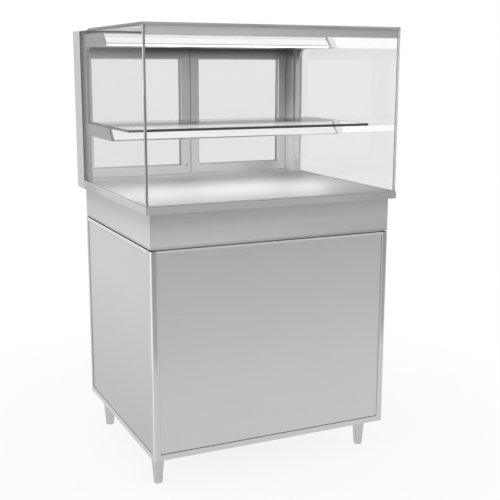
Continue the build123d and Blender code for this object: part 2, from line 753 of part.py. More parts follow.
# Light boxes: a folded housing whose bottom sheet runs out as a lip, closed by a slanted pale diffuser
for front, depth, name in ((SHELF_ARM, BOX_DEPTH, "shelf"), (TOP_ARM, TOP_BOX_DEPTH, "top")):
    (y_slant_top, z_top), (y_slant, z_slant), (y_tip, _), (_, z_bottom) = front
    slope = (y_slant_top - y_slant) / (z_top - z_slant)
    y_end = y_tip + depth
    z_hem = z_top - BOX_HEM
    y_hem = y_slant_top - slope * BOX_HEM
    with BuildPart() as diffuser:
        outline(
            Plane.YZ.offset(-HALF_BOX),
            (
                (y_slant, z_slant),
                (y_hem, z_hem),
                (y_hem + DIFFUSER_SHEET, z_hem),
                (y_slant + DIFFUSER_SHEET, z_slant),
            ),
            2 * HALF_BOX,
        )
    keep(diffuser, f"{name}_diffuser")
    with BuildPart() as housing:
        with BuildSketch(Plane.YZ.offset(-HALF_BOX)) as section:
            with BuildLine():
                Polyline(*front, (y_end, z_bottom), (y_end, z_top), close=True)
            make_face()
            with BuildLine():
                Polyline(
                    (y_slant, z_slant),
                    (y_hem, z_hem),
                    (y_hem + DIFFUSER_SHEET, z_hem),
                    (y_slant_top - slope * BOX_SHEET + DIFFUSER_SHEET, z_top - BOX_SHEET),
                    (y_end - BOX_SHEET, z_top - BOX_SHEET),
                    (y_end - BOX_SHEET, z_bottom + BOX_SHEET),
                    (y_slant + DIFFUSER_SHEET, z_bottom + BOX_SHEET),
                    (y_slant + DIFFUSER_SHEET, z_slant),
                    close=True,
                )
            make_face(mode=Mode.SUBTRACT)
        extrude(section.sketch, amount=2 * HALF_BOX)
    keep(housing, f"{name}_light_box")

# Rear glass doors, each hinged on two pins at its outer edge
Z_DOOR = (Z_DECK + DOOR_GAP, Z_DOOR_HEAD - DOOR_GAP)
Y_DOOR = (Y_REAR - DOOR_THICKNESS, Y_REAR)
Y_PANE = (Y_REAR - DOOR_PANE_BACK - DOOR_PANE, Y_REAR - DOOR_PANE_BACK)
DOOR_EDGE = HALF_OPENING - DOOR_GAP
DOOR_MEET = DOOR_GAP / 2
for side, word in SIDES:
    x_window = (DOOR_MEET + DOOR_STILE, DOOR_EDGE - DOOR_HINGE_STILE)
    z_window = (Z_DOOR[0] + DOOR_BAR, Z_DOOR[1] - DOOR_TOP_BAR)
    x_pane = (x_window[0] - PANE_GRIP, x_window[1] + PANE_GRIP)
    z_pane = (z_window[0] - PANE_GRIP, z_window[1] + PANE_GRIP)
    with BuildPart() as door_frame:
        with BuildSketch(Plane.XY.offset(Z_DOOR[0])) as door_foot:
            for x_low, x_high in ((DOOR_MEET, x_window[0]), (x_window[1], DOOR_EDGE)):
                with Locations((side * (x_low + x_high) / 2, Y_REAR - DOOR_THICKNESS / 2)):
                    Rectangle(x_high - x_low, DOOR_THICKNESS)
            hinge_corner = door_foot.vertices().sort_by_distance((side * DOOR_EDGE, Y_REAR, 0))[0]
            fillet(hinge_corner, HINGE_INSET)
        extrude(amount=Z_DOOR[1] - Z_DOOR[0])
        x_bar = sorted((side * x_window[0], side * x_window[1]))
        block(x_bar, Y_DOOR, (Z_DOOR[0], z_window[0]))
        block(x_bar, Y_DOOR, (z_window[1], Z_DOOR[1]))
        block(
            sorted((side * x_pane[0], side * x_pane[1])),
            Y_PANE,
            z_pane,
            Mode.SUBTRACT,
        )
        for z_pin in (Z_DOOR[0], Z_DOOR[1] - DOOR_PIN_SEAT):
            rod(
                (side * DOOR_PIN_X, DOOR_PIN_Y, z_pin),
                (0, 0, 1),
                DOOR_PIN_RADIUS + RUNNING,
                DOOR_PIN_SEAT,
                Mode.SUBTRACT,
            )
    keep(door_frame, f"door_{word}_frame")
    with BuildPart() as door_pane:
        block(
            sorted((side * (x_pane[0] + SLIP), side * (x_pane[1] - SLIP))),
            Y_PANE,
            (z_pane[0], z_pane[1] - SLIP),
        )
    keep(door_pane, f"door_{word}_glass")
    with BuildPart() as door_pins:
        pin_length = DOOR_PIN_SEAT + DOOR_GAP + DOOR_PIN_ENGAGE
        for z_pin in (Z_DOOR[0] - DOOR_GAP - DOOR_PIN_ENGAGE, Z_DOOR[1] - DOOR_PIN_SEAT):
            rod((side * DOOR_PIN_X, DOOR_PIN_Y, z_pin), (0, 0, 1), DOOR_PIN_RADIUS, pin_length)
    keep(door_pins, f"door_{word}_pins")
    with BuildPart() as door_pull:
        x_pull = side * (DOOR_MEET + DOOR_STILE / 2)
        y_bar = Y_REAR + PULL_REACH - PULL_RADIUS
        z_low = Z_DOOR[0] + PULL_RISE
        z_high = z_low + PULL_LENGTH
        pipe(
            [(x_pull, Y_REAR, z_low), (x_pull, y_bar, z_low), (x_pull, y_bar, z_high), (x_pull, Y_REAR, z_high)],
            PULL_RADIUS,
            2 * PULL_RADIUS,
        )
    keep(door_pull, f"door_{word}_pull")

# Louvred service doors of the base: folded pans with welded pivot studs
Y_SERVICE = (Y_BACK - PANEL_RECESS - SERVICE_DEPTH, Y_BACK - PANEL_RECESS)
Z_SERVICE = (Z_FLOOR_SHEET + DOOR_GAP, Z_CABINET_TOP - TOP_RAIL - DOOR_GAP)
SERVICE_EDGE = RAIL_HALF - DOOR_GAP
for side, word in SIDES:
    x_centre = side * (DOOR_MEET + SERVICE_EDGE) / 2
    x_louvre = x_centre - LOUVRE_WIDTH / 2
    y_out, y_in = Y_SERVICE[1], Y_SERVICE[1] - SERVICE_SHEET
    louvre_feet = [Z_SERVICE[0] + LOUVRE_BOTTOM + n * LOUVRE_PITCH for n in range(LOUVRE_COUNT)]
    with BuildPart() as service_door:
        block(sorted((side * DOOR_MEET, side * SERVICE_EDGE)), Y_SERVICE, Z_SERVICE)
        upright = service_door.edges().filter_by(Axis.Z)
        fillet(upright.sort_by_distance((side * SERVICE_EDGE, Y_SERVICE[1], sum(Z_SERVICE) / 2))[0], HINGE_INSET)
        block(
            sorted((side * (DOOR_MEET + SERVICE_SHEET), side * (SERVICE_EDGE - SERVICE_BOSS))),
            (Y_SERVICE[0], y_in),
            (Z_SERVICE[0] + SERVICE_SHEET, Z_SERVICE[1] - SERVICE_SHEET),
            Mode.SUBTRACT,
        )
        for foot in louvre_feet:
            block((x_louvre, x_louvre + LOUVRE_WIDTH), (y_in, y_out), (foot, foot + LOUVRE_SLOT), Mode.SUBTRACT)
        with BuildSketch(Plane.YZ.offset(x_louvre)):
            for foot in louvre_feet:
                head = foot + LOUVRE_SLOT
                with BuildLine():
                    Polyline(
                        (y_in, head),
                        (y_in, head + SERVICE_SHEET),
                        (y_out, head + SERVICE_SHEET),
                        (y_out + LOUVRE_REACH, foot),
                        (y_out + LOUVRE_REACH - LOUVRE_EDGE, foot),
                        close=True,
                    )
                make_face()
        extrude(amount=LOUVRE_WIDTH)
        for x_cheek in (x_louvre - LOUVRE_EDGE, x_louvre + LOUVRE_WIDTH):
            with BuildSketch(Plane.YZ.offset(x_cheek)):
                for foot in louvre_feet:
                    with BuildLine():
                        Polyline(
                            (y_in, foot),
                            (y_in, foot + LOUVRE_SLOT + SERVICE_SHEET),
                            (y_out, foot + LOUVRE_SLOT + SERVICE_SHEET),
                            (y_out + LOUVRE_REACH, foot),
                            close=True,
                        )
                    make_face()
            extrude(amount=LOUVRE_EDGE)
        for z_end, direction in ((Z_SERVICE[0], -1), (Z_SERVICE[1], 1)):
            rod(
                (side * SERVICE_PIN_X, SERVICE_PIN_Y, z_end),
                (0, 0, direction),
                SERVICE_PIN_RADIUS,
                DOOR_GAP + SERVICE_PIN_ENGAGE,
            )
    keep(service_door, f"service_door_{word}")
    with BuildPart() as service_knob:
        x_knob = side * (DOOR_MEET + KNOB_EDGE_INSET)
        z_knob = (Z_SERVICE[0] + Z_SERVICE[1]) / 2
        with BuildSketch(Plane(origin=(x_knob, 0, z_knob), x_dir=(0, 1, 0), z_dir=(-1, 0, 0))):
            with BuildLine():
                Polyline(
                    (y_out, 0),
                    (y_out, KNOB_RADIUS / 2),
                    (y_out + KNOB_REACH / 2, KNOB_RADIUS / 2),
                    (y_out + KNOB_REACH / 2 + KNOB_CHAMFER, KNOB_RADIUS),
                    (y_out + KNOB_REACH - KNOB_CHAMFER, KNOB_RADIUS),
                    (y_out + KNOB_REACH, KNOB_RADIUS - KNOB_CHAMFER),
                    (y_out + KNOB_REACH, 0),
                    close=True,
                )
            make_face()
        revolve(axis=Axis((x_knob, 0, z_knob), (0, 1, 0)))
    keep(service_knob, f"service_knob_{word}")

# Condensing unit on its skid: compressor, finned condenser, fan and filter
Z_SKID = Z_FLOOR_SHEET + SKID_HEIGHT
UNIT_X = RAIL_HALF - UNIT_SIDE_ROOM - UNIT_WIDTH / 2
SKID_Y = (Y_BACK - UNIT_BACK_ROOM - UNIT_DEPTH, Y_BACK - UNIT_BACK_ROOM)
with BuildPart() as unit_skid:
    skid_x = (UNIT_X - UNIT_WIDTH / 2, UNIT_X + UNIT_WIDTH / 2)
    block(skid_x, SKID_Y, (Z_FLOOR_SHEET, Z_SKID))
    block(
        (skid_x[0] + SKID_SHEET, skid_x[1] - SKID_SHEET),
        SKID_Y,
        (Z_FLOOR_SHEET, Z_SKID - SKID_SHEET),
        Mode.SUBTRACT,
    )
keep(unit_skid, "unit_skid")

COMPRESSOR_PLACE = (UNIT_X, SKID_Y[0] + COMPRESSOR_SETBACK)
Z_SHELL = Z_SKID + GROMMET_HEIGHT
with BuildPart() as compressor:
    with BuildSketch(Plane.XY.offset(Z_SHELL)):
        with Locations(COMPRESSOR_PLACE):
            RectangleRounded(COMPRESSOR_FOOT, COMPRESSOR_FOOT, GROMMET_RADIUS)
            with GridLocations(2 * GROMMET_SPREAD, 2 * GROMMET_SPREAD, 2, 2):
                Circle(GROMMET_BORE + SLIP, mode=Mode.SUBTRACT)
    extrude(amount=COMPRESSOR_FOOT_SHEET)
    dome = COMPRESSOR_RADIUS / 2
    rounding = [radians(90 * step / DOME_STEPS) for step in range(DOME_STEPS + 1)]
    dome_arc = [(dome + dome * sin(turn), dome - dome * cos(turn)) for turn in rounding]
    seam_radius = COMPRESSOR_RADIUS + COMPRESSOR_SEAM
    z_seam_low = Z_SHELL + (COMPRESSOR_HEIGHT - COMPRESSOR_SEAM) / 2
    z_seam_high = z_seam_low + COMPRESSOR_SEAM
    turned(
        *COMPRESSOR_PLACE,
        (
            (0, Z_SHELL),
            *((reach, Z_SHELL + drop) for reach, drop in dome_arc),
            (COMPRESSOR_RADIUS, z_seam_low),
            (seam_radius, z_seam_low),
            (seam_radius, z_seam_high),
            (COMPRESSOR_RADIUS, z_seam_high),
            *((reach, Z_SHELL + COMPRESSOR_HEIGHT - drop) for reach, drop in reversed(dome_arc)),
            (0, Z_SHELL + COMPRESSOR_HEIGHT),
        ),
    )
keep(compressor, "compressor")

with BuildPart() as compressor_grommets:
    with BuildSketch(Plane.XY.offset(Z_SKID)):
        with Locations(COMPRESSOR_PLACE):
            with GridLocations(2 * GROMMET_SPREAD, 2 * GROMMET_SPREAD, 2, 2):
                Circle(GROMMET_RADIUS)
                Circle(GROMMET_BORE, mode=Mode.SUBTRACT)
    extrude(amount=GROMMET_HEIGHT)
keep(compressor_grommets, "compressor_grommets")

CONDENSER_Y = (Y_BACK - CONDENSER_BACK_ROOM - CONDENSER_DEPTH, Y_BACK - CONDENSER_BACK_ROOM)
CONDENSER_MID = (CONDENSER_Y[0] + CONDENSER_Y[1]) / 2
CONDENSER_X = (UNIT_X - CONDENSER_WIDTH / 2, UNIT_X + CONDENSER_WIDTH / 2)
Z_CONDENSER = (Z_SKID, Z_SKID + CONDENSER_HEIGHT)
ROW_PITCH = CONDENSER_HEIGHT / TUBE_ROWS
with BuildPart() as condenser:
    block(CONDENSER_X, (CONDENSER_MID - CONDENSER_CORE / 2, CONDENSER_MID + CONDENSER_CORE / 2), Z_CONDENSER)
    fin_pitch = (CONDENSER_WIDTH - FIN_SHEET) / (FIN_COUNT - 1)
    with BuildSketch(Plane.XY.offset(Z_CONDENSER[0])):
        with Locations((UNIT_X, CONDENSER_MID)):
            with GridLocations(fin_pitch, 0, FIN_COUNT, 1):
                Rectangle(FIN_SHEET, CONDENSER_DEPTH)
    extrude(amount=CONDENSER_HEIGHT)
    for x_end, outward in ((CONDENSER_X[0], -1), (CONDENSER_X[1], 1)):
        for row in range(TUBE_ROWS - 1):
            if (row % 2 == 0) == (outward > 0):
                z_low = Z_CONDENSER[0] + ROW_PITCH * (row + 0.5)
                pipe(
                    [
                        (x_end, CONDENSER_MID, z_low),
                        (x_end + outward * BEND_RADIUS, CONDENSER_MID, z_low),
                        (x_end + outward * BEND_RADIUS, CONDENSER_MID, z_low + ROW_PITCH),
                        (x_end, CONDENSER_MID, z_low + ROW_PITCH),
                    ],
                    TUBE_RADIUS,
                    BEND_RADIUS - SLIP,
                )
keep(condenser, "condenser")

Z_FAN = Z_SKID + CONDENSER_HEIGHT / 2
Y_HOOD = CONDENSER_Y[0] - HOOD_DEPTH
FAN_AXIS = Plane(origin=(UNIT_X, 0, Z_FAN), x_dir=(1, 0, 0), z_dir=(0, -1, 0))
with BuildPart() as fan_shroud:
    block(CONDENSER_X, (Y_HOOD, CONDENSER_Y[0]), Z_CONDENSER)
    block(
        (CONDENSER_X[0] + HOOD_SHEET, CONDENSER_X[1] - HOOD_SHEET),
        (Y_HOOD + HOOD_SHEET, CONDENSER_Y[0]),
        (Z_CONDENSER[0] + HOOD_SHEET, Z_CONDENSER[1] - HOOD_SHEET),
        Mode.SUBTRACT,
    )
    with BuildSketch(FAN_AXIS.offset(-Y_HOOD)):
        Circle(FAN_RING_RADIUS + HOOD_SHEET)
    extrude(amount=FAN_RING_LENGTH)
    rod((UNIT_X, CONDENSER_Y[0], Z_FAN), (0, -1, 0), FAN_RING_RADIUS, HOOD_DEPTH + FAN_RING_LENGTH, Mode.SUBTRACT)
keep(fan_shroud, "fan_shroud")

Y_HUB = Y_HOOD - FAN_RING_LENGTH / 2
with BuildPart() as fan_blades:
    rod((UNIT_X, Y_HUB + FAN_HUB_LENGTH / 2, Z_FAN), (0, -1, 0), FAN_HUB_RADIUS, FAN_HUB_LENGTH)
    shaft_length = FAN_HUB_LENGTH / 2 + MOTOR_FAN_GAP + SHAFT_ENGAGE
    rod((UNIT_X, Y_HUB, Z_FAN), (0, -1, 0), SHAFT_RADIUS, shaft_length)
    for blade in range(FAN_BLADES):
        turn = radians(blade * 360 / FAN_BLADES)
        spoke = Vector(cos(turn), 0, sin(turn))
        tangent = Vector(-sin(turn), 0, cos(turn))
        for reach, chord, pitch in (
            (FAN_HUB_RADIUS - BLADE_THICKNESS, BLADE_ROOT_CHORD, BLADE_ROOT_PITCH),
            (FAN_RADIUS, BLADE_TIP_CHORD, BLADE_TIP_PITCH),
        ):
            chord_line = tangent * cos(radians(pitch)) + Vector(0, 1, 0) * sin(radians(pitch))
            origin = Vector(UNIT_X, Y_HUB, Z_FAN) + spoke * reach
            with BuildSketch(Plane(origin=origin, x_dir=chord_line, z_dir=spoke)):
                Rectangle(chord, BLADE_THICKNESS)
        loft()
keep(fan_blades, "fan_blades")

Y_MOTOR = Y_HUB - FAN_HUB_LENGTH / 2 - MOTOR_FAN_GAP
with BuildPart() as fan_motor:
    rod((UNIT_X, Y_MOTOR, Z_FAN), (0, -1, 0), MOTOR_RADIUS, MOTOR_LENGTH)
    with BuildSketch(FAN_AXIS.offset(-Y_MOTOR)):
        Rectangle(2 * STANDOFF_SPREAD, BRACKET_WIDTH)
        Rectangle(BRACKET_WIDTH, 2 * STANDOFF_SPREAD)
    extrude(amount=BRACKET_SHEET)
    with BuildSketch(FAN_AXIS.offset(-Y_HOOD)):
        with PolarLocations(STANDOFF_SPREAD, 4):
            Circle(STANDOFF_RADIUS)
    extrude(amount=Y_HOOD - Y_MOTOR + BRACKET_SHEET)
    rod((UNIT_X, Y_MOTOR, Z_FAN), (0, -1, 0), SHAFT_RADIUS + RUNNING, SHAFT_ENGAGE + STUD_END_ROOM, Mode.SUBTRACT)
keep(fan_motor, "fan_motor")

DRIER_PLACE = (skid_x[1] - DRIER_SIDE_ROOM - DRIER_RADIUS, SKID_Y[0] + DRIER_SETBACK)
with BuildPart() as filter_drier:
    z_low, z_high = Z_SKID, Z_SKID + DRIER_LENGTH
    shoulder = DRIER_RADIUS - DRIER_NECK
    turned(
        *DRIER_PLACE,
        (
            (0, z_low),
            (DRIER_NECK, z_low),
            (DRIER_RADIUS, z_low + shoulder),
            (DRIER_RADIUS, z_high - shoulder),
            (DRIER_NECK, z_high),
            (0, z_high),
        ),
    )
keep(filter_drier, "filter_drier")

with BuildPart() as refrigerant_pipes:
    x_drier, y_drier = DRIER_PLACE
    z_joint = Z_TAIL - SLIP
    z_lane = Z_TAIL - PIPE_DROP
    z_shell_top = Z_SHELL + COMPRESSOR_HEIGHT
    stub = COMPRESSOR_RADIUS / 3
    x_shell, y_shell = COMPRESSOR_PLACE
    pipe(
        [
            (COIL_TAIL_X, COIL_Y, z_joint),
            (COIL_TAIL_X, COIL_Y, z_lane),
            (COIL_TAIL_X, y_drier, z_lane),
            (x_drier, y_drier, z_lane - PIPE_DROP),
            (x_drier, y_drier, Z_SKID + DRIER_LENGTH + SLIP),
        ],
        PIPE_RADIUS,
        [PIPE_BEND, PIPE_BEND, PIPE_BEND],
    )
    pipe(
        [
            (COIL_TAIL_X, COIL_END_Y, z_joint),
            (COIL_TAIL_X, COIL_END_Y, z_lane),
            (x_shell + stub, y_shell, z_lane),
            (x_shell + stub, y_shell, z_shell_top + SLIP),
        ],
        PIPE_RADIUS,
        PIPE_BEND,
    )
    z_inlet = Z_CONDENSER[1] - ROW_PITCH / 2
    pipe(
        [
            (x_shell - stub, y_shell, z_shell_top + SLIP),
            (x_shell - stub, y_shell, Z_CONDENSER[1] + PIPE_DROP),
            (CONDENSER_X[0] - PIPE_SIDE_ROOM, CONDENSER_MID, Z_CONDENSER[1] + PIPE_DROP),
            (CONDENSER_X[0] - PIPE_SIDE_ROOM, CONDENSER_MID, z_inlet),
            (CONDENSER_X[0] - SLIP, CONDENSER_MID, z_inlet),
        ],
        PIPE_RADIUS,
        PIPE_BEND,
    )
keep(refrigerant_pipes, "refrigerant_pipes")

# Cable gland through the base floor, where the supply cable leaves
with BuildPart() as cable_gland:
    z_gland = Z_FLOOR_SHEET - FLOOR_SHEET - GLAND_HEIGHT
    rod((*GLAND_PLACE, z_gland), (0, 0, 1), GLAND_BARREL, GLAND_LENGTH)
    for z_nut in (z_gland, Z_FLOOR_SHEET):
        with BuildSketch(Plane.XY.offset(z_nut)):
            with Locations(GLAND_PLACE):
                RegularPolygon(GLAND_NUT, 6)
        extrude(amount=GLAND_HEIGHT)
    rod((*GLAND_PLACE, z_gland), (0, 0, 1), GLAND_BORE, GLAND_LENGTH, Mode.SUBTRACT)
keep(cable_gland, "cable_gland")

# Controls in the collar's rear wall: temperature controller and two rocker switches
Y_WALL = Y_COLLAR[1]
with BuildPart() as controller:
    block(
        (CONTROL_X - CONTROLLER_WIDTH / 2, CONTROL_X + CONTROLLER_WIDTH / 2),
        (Y_WALL, Y_WALL + CONTROLLER_BEZEL),
        (CONTROL_Z - CONTROLLER_HEIGHT / 2, CONTROL_Z + CONTROLLER_HEIGHT / 2),
    )
    fillet(controller.edges().filter_by(Axis.Y), CONTROLLER_BEZEL)
    block(
        (CONTROL_X - CONTROLLER_BODY_WIDTH / 2, CONTROL_X + CONTROLLER_BODY_WIDTH / 2),
        (Y_WALL - CONTROLLER_BODY, Y_WALL),
        (CONTROL_Z - CONTROLLER_BODY_HEIGHT / 2, CONTROL_Z + CONTROLLER_BODY_HEIGHT / 2),
    )
    y_face = Y_WALL + CONTROLLER_BEZEL
    block(
        (CONTROL_X - WINDOW_WIDTH / 2, CONTROL_X + WINDOW_WIDTH / 2),
        (y_face - WINDOW_DEPTH, y_face),
        (CONTROL_Z - WINDOW_HEIGHT / 2, CONTROL_Z + WINDOW_HEIGHT / 2),
        Mode.SUBTRACT,
    )
keep(controller, "controller")

CAVITY = ROCKER_RADIUS + SLIP
with BuildPart() as switch_housings:
    for x_switch in SWITCH_XS:
        half_width, half_height = SWITCH_CUT_WIDTH / 2, SWITCH_CUT_HEIGHT / 2
        block(
            (x_switch - half_width, x_switch + half_width),
            (Y_WALL - SWITCH_BODY, Y_WALL),
            (CONTROL_Z - half_height, CONTROL_Z + half_height),
        )
        block(
            (x_switch - half_width - SWITCH_BEZEL, x_switch + half_width + SWITCH_BEZEL),
            (Y_WALL, Y_WALL + SWITCH_BEZEL),
            (CONTROL_Z - half_height - SWITCH_BEZEL, CONTROL_Z + half_height + SWITCH_BEZEL),
        )
        block(
            (x_switch - ROCKER_WIDTH / 2 - SLIP, x_switch + ROCKER_WIDTH / 2 + SLIP),
            (Y_WALL - CAVITY, Y_WALL + SWITCH_BEZEL),
            (CONTROL_Z - CAVITY, CONTROL_Z + CAVITY),
            Mode.SUBTRACT,
        )
        pin_reach = ROCKER_WIDTH / 2 + SLIP + ROCKER_PIN_ENGAGE
        rod((x_switch - pin_reach, Y_WALL, CONTROL_Z), (1, 0, 0), ROCKER_PIN + RUNNING, 2 * pin_reach, Mode.SUBTRACT)
keep(switch_housings, "switch_housings")

for x_switch, word in zip(SWITCH_XS, ("power", "light")):
    with BuildPart() as rocker:
        fall = ROCKER_RADIUS * sin(radians(ROCKER_FALL))
        tilted = (0, cos(radians(ROCKER_TILT)), sin(radians(ROCKER_TILT)))
        x_low = x_switch - ROCKER_WIDTH / 2
        with BuildSketch(Plane(origin=(x_low, Y_WALL, CONTROL_Z), x_dir=tilted, z_dir=(1, 0, 0))):
            Circle(ROCKER_RADIUS)
            with BuildLine():
                Polyline(
                    (ROCKER_CREST, 0),
                    (ROCKER_CREST + fall, ROCKER_RADIUS),
                    (2 * ROCKER_RADIUS, ROCKER_RADIUS),
                    (2 * ROCKER_RADIUS, -ROCKER_RADIUS),
                    (ROCKER_CREST + fall, -ROCKER_RADIUS),
                    close=True,
                )
            make_face(mode=Mode.SUBTRACT)
        extrude(amount=ROCKER_WIDTH)
        pin_reach = ROCKER_WIDTH / 2 + SLIP + ROCKER_PIN_ENGAGE - RUNNING
        rod((x_switch - pin_reach, Y_WALL, CONTROL_Z), (1, 0, 0), ROCKER_PIN, 2 * pin_reach)
    keep(rocker, f"{word}_rocker")

# Dome-head screws that hold the side plates to the columns
with BuildPart() as plate_screws:
    for side, _ in SIDES:
        for rise in PLATE_SCREW_RISES:
            centre = (side * PLATE_OUTER, Y_COLUMN - 2 * SCREW_HEAD_RADIUS, Z_DECK + rise)
            rod(centre, (side, 0, 0), SCREW_HEAD_RADIUS, SCREW_HEAD_HEIGHT)
keep(plate_screws, "plate_screws")
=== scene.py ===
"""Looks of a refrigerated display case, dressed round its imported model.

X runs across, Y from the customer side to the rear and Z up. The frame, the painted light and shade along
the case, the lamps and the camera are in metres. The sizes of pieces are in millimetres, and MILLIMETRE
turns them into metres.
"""

from __future__ import annotations

import logging
import math
from collections.abc import Iterable, Sequence
from dataclasses import dataclass, field, replace
from enum import Enum
from functools import reduce

import bmesh
import bpy
from mathutils import Matrix, Vector

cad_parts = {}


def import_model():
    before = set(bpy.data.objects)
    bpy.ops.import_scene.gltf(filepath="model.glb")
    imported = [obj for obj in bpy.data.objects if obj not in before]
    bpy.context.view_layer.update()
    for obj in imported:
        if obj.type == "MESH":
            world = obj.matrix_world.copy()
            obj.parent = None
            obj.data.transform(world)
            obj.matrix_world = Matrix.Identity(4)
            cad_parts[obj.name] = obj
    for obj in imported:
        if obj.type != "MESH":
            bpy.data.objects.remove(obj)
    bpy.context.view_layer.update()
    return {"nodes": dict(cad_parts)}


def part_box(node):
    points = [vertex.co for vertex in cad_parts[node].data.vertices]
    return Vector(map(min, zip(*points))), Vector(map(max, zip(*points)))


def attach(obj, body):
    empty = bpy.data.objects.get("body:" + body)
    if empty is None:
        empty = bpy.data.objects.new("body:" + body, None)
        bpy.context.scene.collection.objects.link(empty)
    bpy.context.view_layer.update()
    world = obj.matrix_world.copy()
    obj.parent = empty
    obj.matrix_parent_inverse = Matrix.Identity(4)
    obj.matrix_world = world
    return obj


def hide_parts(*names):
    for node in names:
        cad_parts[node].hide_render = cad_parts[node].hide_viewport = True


LOG = logging.getLogger("display_case")
MILLIMETRE = 0.001
CASE = "case"
SIDES = ((-1, "left"), (1, "right"))
X_AXIS, Y_AXIS, Z_AXIS = Vector((1, 0, 0)), Vector((0, 1, 0)), Vector((0, 0, 1))
SHARP_ANGLE = math.radians(35.0)
NOISE_MIDDLE = 0.5

Triple = tuple[float, float, float]
Outline = tuple[tuple[float, float], ...]


class Value:
    """An output of a node, on which arithmetic adds further nodes."""

    def __init__(self, graph: Graph, socket: bpy.types.NodeSocket) -> None:
        """Wrap one output socket of a graph."""
        self.graph = graph
        self.socket = socket

    def _maths(self, operation: str, first: Value | float, second: Value | float) -> Value:
        """Add a node of one operation."""
        return self.graph.node("ShaderNodeMath", {"operation": operation}, {0: first, 1: second})

    def __add__(self, other: Value | float) -> Value:
        """Sum of two values."""
        return self._maths("ADD", self, other)

    def __radd__(self, other: float) -> Value:
        """Sum of a number and a value."""
        return self._maths("ADD", other, self)

    def __sub__(self, other: Value | float) -> Value:
        """Difference of two values."""
        return self._maths("SUBTRACT", self, other)

    def __rsub__(self, other: float) -> Value:
        """A number less a value."""
        return self._maths("SUBTRACT", other, self)

    def __mul__(self, other: Value | float) -> Value:
        """Product of two values."""
        return self._maths("MULTIPLY", self, other)

    def __rmul__(self, other: float) -> Value:
        """Product of a number and a value."""
        return self._maths("MULTIPLY", other, self)

    def __truediv__(self, other: Value | float) -> Value:
        """Quotient of two values."""
        return self._maths("DIVIDE", self, other)

    def at_least(self, other: Value | float) -> Value:
        """The larger of two values."""
        return self._maths("MAXIMUM", self, other)

    def at_most(self, other: Value | float) -> Value:
        """The smaller of two values."""
        return self._maths("MINIMUM", self, other)

    def size(self) -> Value:
        """The value without its sign."""
        return self._maths("ABSOLUTE", self, 0.0)

    def between(self, start: float, end: float) -> Value:
        """Share from 0 to 1 of the way from a start to an end."""
        return ((self - start) / (end - start)).at_least(0.0).at_most(1.0)

    def other(self, name: str) -> Value:
        """Another output of the same node."""
        return Value(self.graph, self.socket.node.outputs[name])


class Graph:
    """Adds nodes to one shader or geometry tree."""

    def __init__(self, tree: bpy.types.NodeTree) -> None:
        """Work on a tree."""
        self.tree = tree

    def node(
        self,
        kind: str,
        settings: dict[str, object] | None = None,
        inputs: dict[int | str, object] | None = None,
        output: int | str = 0,
    ) -> Value | None:
        """Add a node, set it up and feed its sockets.

        Args:
            kind: Name of the node's type.
            settings: Properties set before the sockets are fed.
            inputs: A value, or a link from another node, for each socket by name or place.
            output: The socket that the result stands for.

        Returns:
            The chosen output, or None on a node without outputs.
        """
        made = self.tree.nodes.new(kind)
        for name, setting in (settings or {}).items():
            setattr(made, name, setting)
        for key, value in (inputs or {}).items():
            if isinstance(value, Value):
                self.tree.links.new(value.socket, made.inputs[key])
            else:
                made.inputs[key].default_value = value
        return Value(self, made.outputs[output]) if len(made.outputs) else None

    def place(self, scale: Triple = (1.0, 1.0, 1.0)) -> Value:
        """Object coordinates in metres, stretched by a scale."""
        spot = self.node("ShaderNodeTexCoord", output="Object")
        return self.node("ShaderNodeMapping", inputs={"Vector": spot, "Scale": scale})

    def along(self, axis: str, coordinates: str = "Object") -> Value:
        """One axis of the object's own coordinates, or of others."""
        spot = self.node("ShaderNodeTexCoord", output=coordinates)
        return self.node("ShaderNodeSeparateXYZ", inputs={0: spot}, output=axis)

    def rays(self, *kinds: str) -> Value:
        """1 for rays of any of these kinds, and 0 for all others."""
        found = [self.node("ShaderNodeLightPath", output=f"Is {kind} Ray") for kind in kinds]
        return reduce(Value.at_least, found)

    def noise(self, vector: Value, scale: float, detail: float = 2.0) -> Value:
        """Soft noise between about 0.3 and 0.7."""
        sockets = {"Vector": vector, "Scale": scale, "Detail": detail}
        return self.node("ShaderNodeTexNoise", inputs=sockets)

    def mixed(self, share: Value, first: Triple, second: Triple) -> Value:
        """Colour between two colours by a share."""
        sockets = {0: share, 6: (*first, 1.0), 7: (*second, 1.0)}
        return self.node("ShaderNodeMix", {"data_type": "RGBA"}, sockets, output=2)

    def uneven(self, share: Value, colour: Triple, play: float) -> Value:
        """Colour from darker to lighter, by a play either way."""
        return self.mixed(share, shaded(colour, 1 - play), shaded(colour, 1 + play))

    def paint_light_and_shade(self, colour: Value, painted_light_and_shade: Iterable[PaintedFade]) -> Value:
        """Paint light and shade into a colour: darker or lighter along the case.

        Args:
            colour: The even colour.
            painted_light_and_shade: Painted light and shade, each on top of those before it.

        Returns:
            The colour with every change.
        """
        for fade in painted_light_and_shade:
            tone = 1.0 + (fade.factor - 1.0) * fade.share(self)
            sockets = {0: colour, "Scale": tone}
            colour = self.node("ShaderNodeVectorMath", {"operation": "SCALE"}, sockets)
        return colour

    def relief(self, height: Value, strength: float, depth: float) -> Value:
        """Normal bent by a height, with its depth in millimetres."""
        sockets = {"Strength": strength, "Distance": depth * MILLIMETRE, "Height": height}
        return self.node("ShaderNodeBump", inputs=sockets)


def emptied(owner: bpy.types.Material | bpy.types.World) -> Graph:
    """Clear the nodes of a material or a world.

    Args:
        owner: What the nodes belong to.

    Returns:
        The empty graph.
    """
    owner.use_nodes = True
    owner.node_tree.nodes.clear()
    return Graph(owner.node_tree)


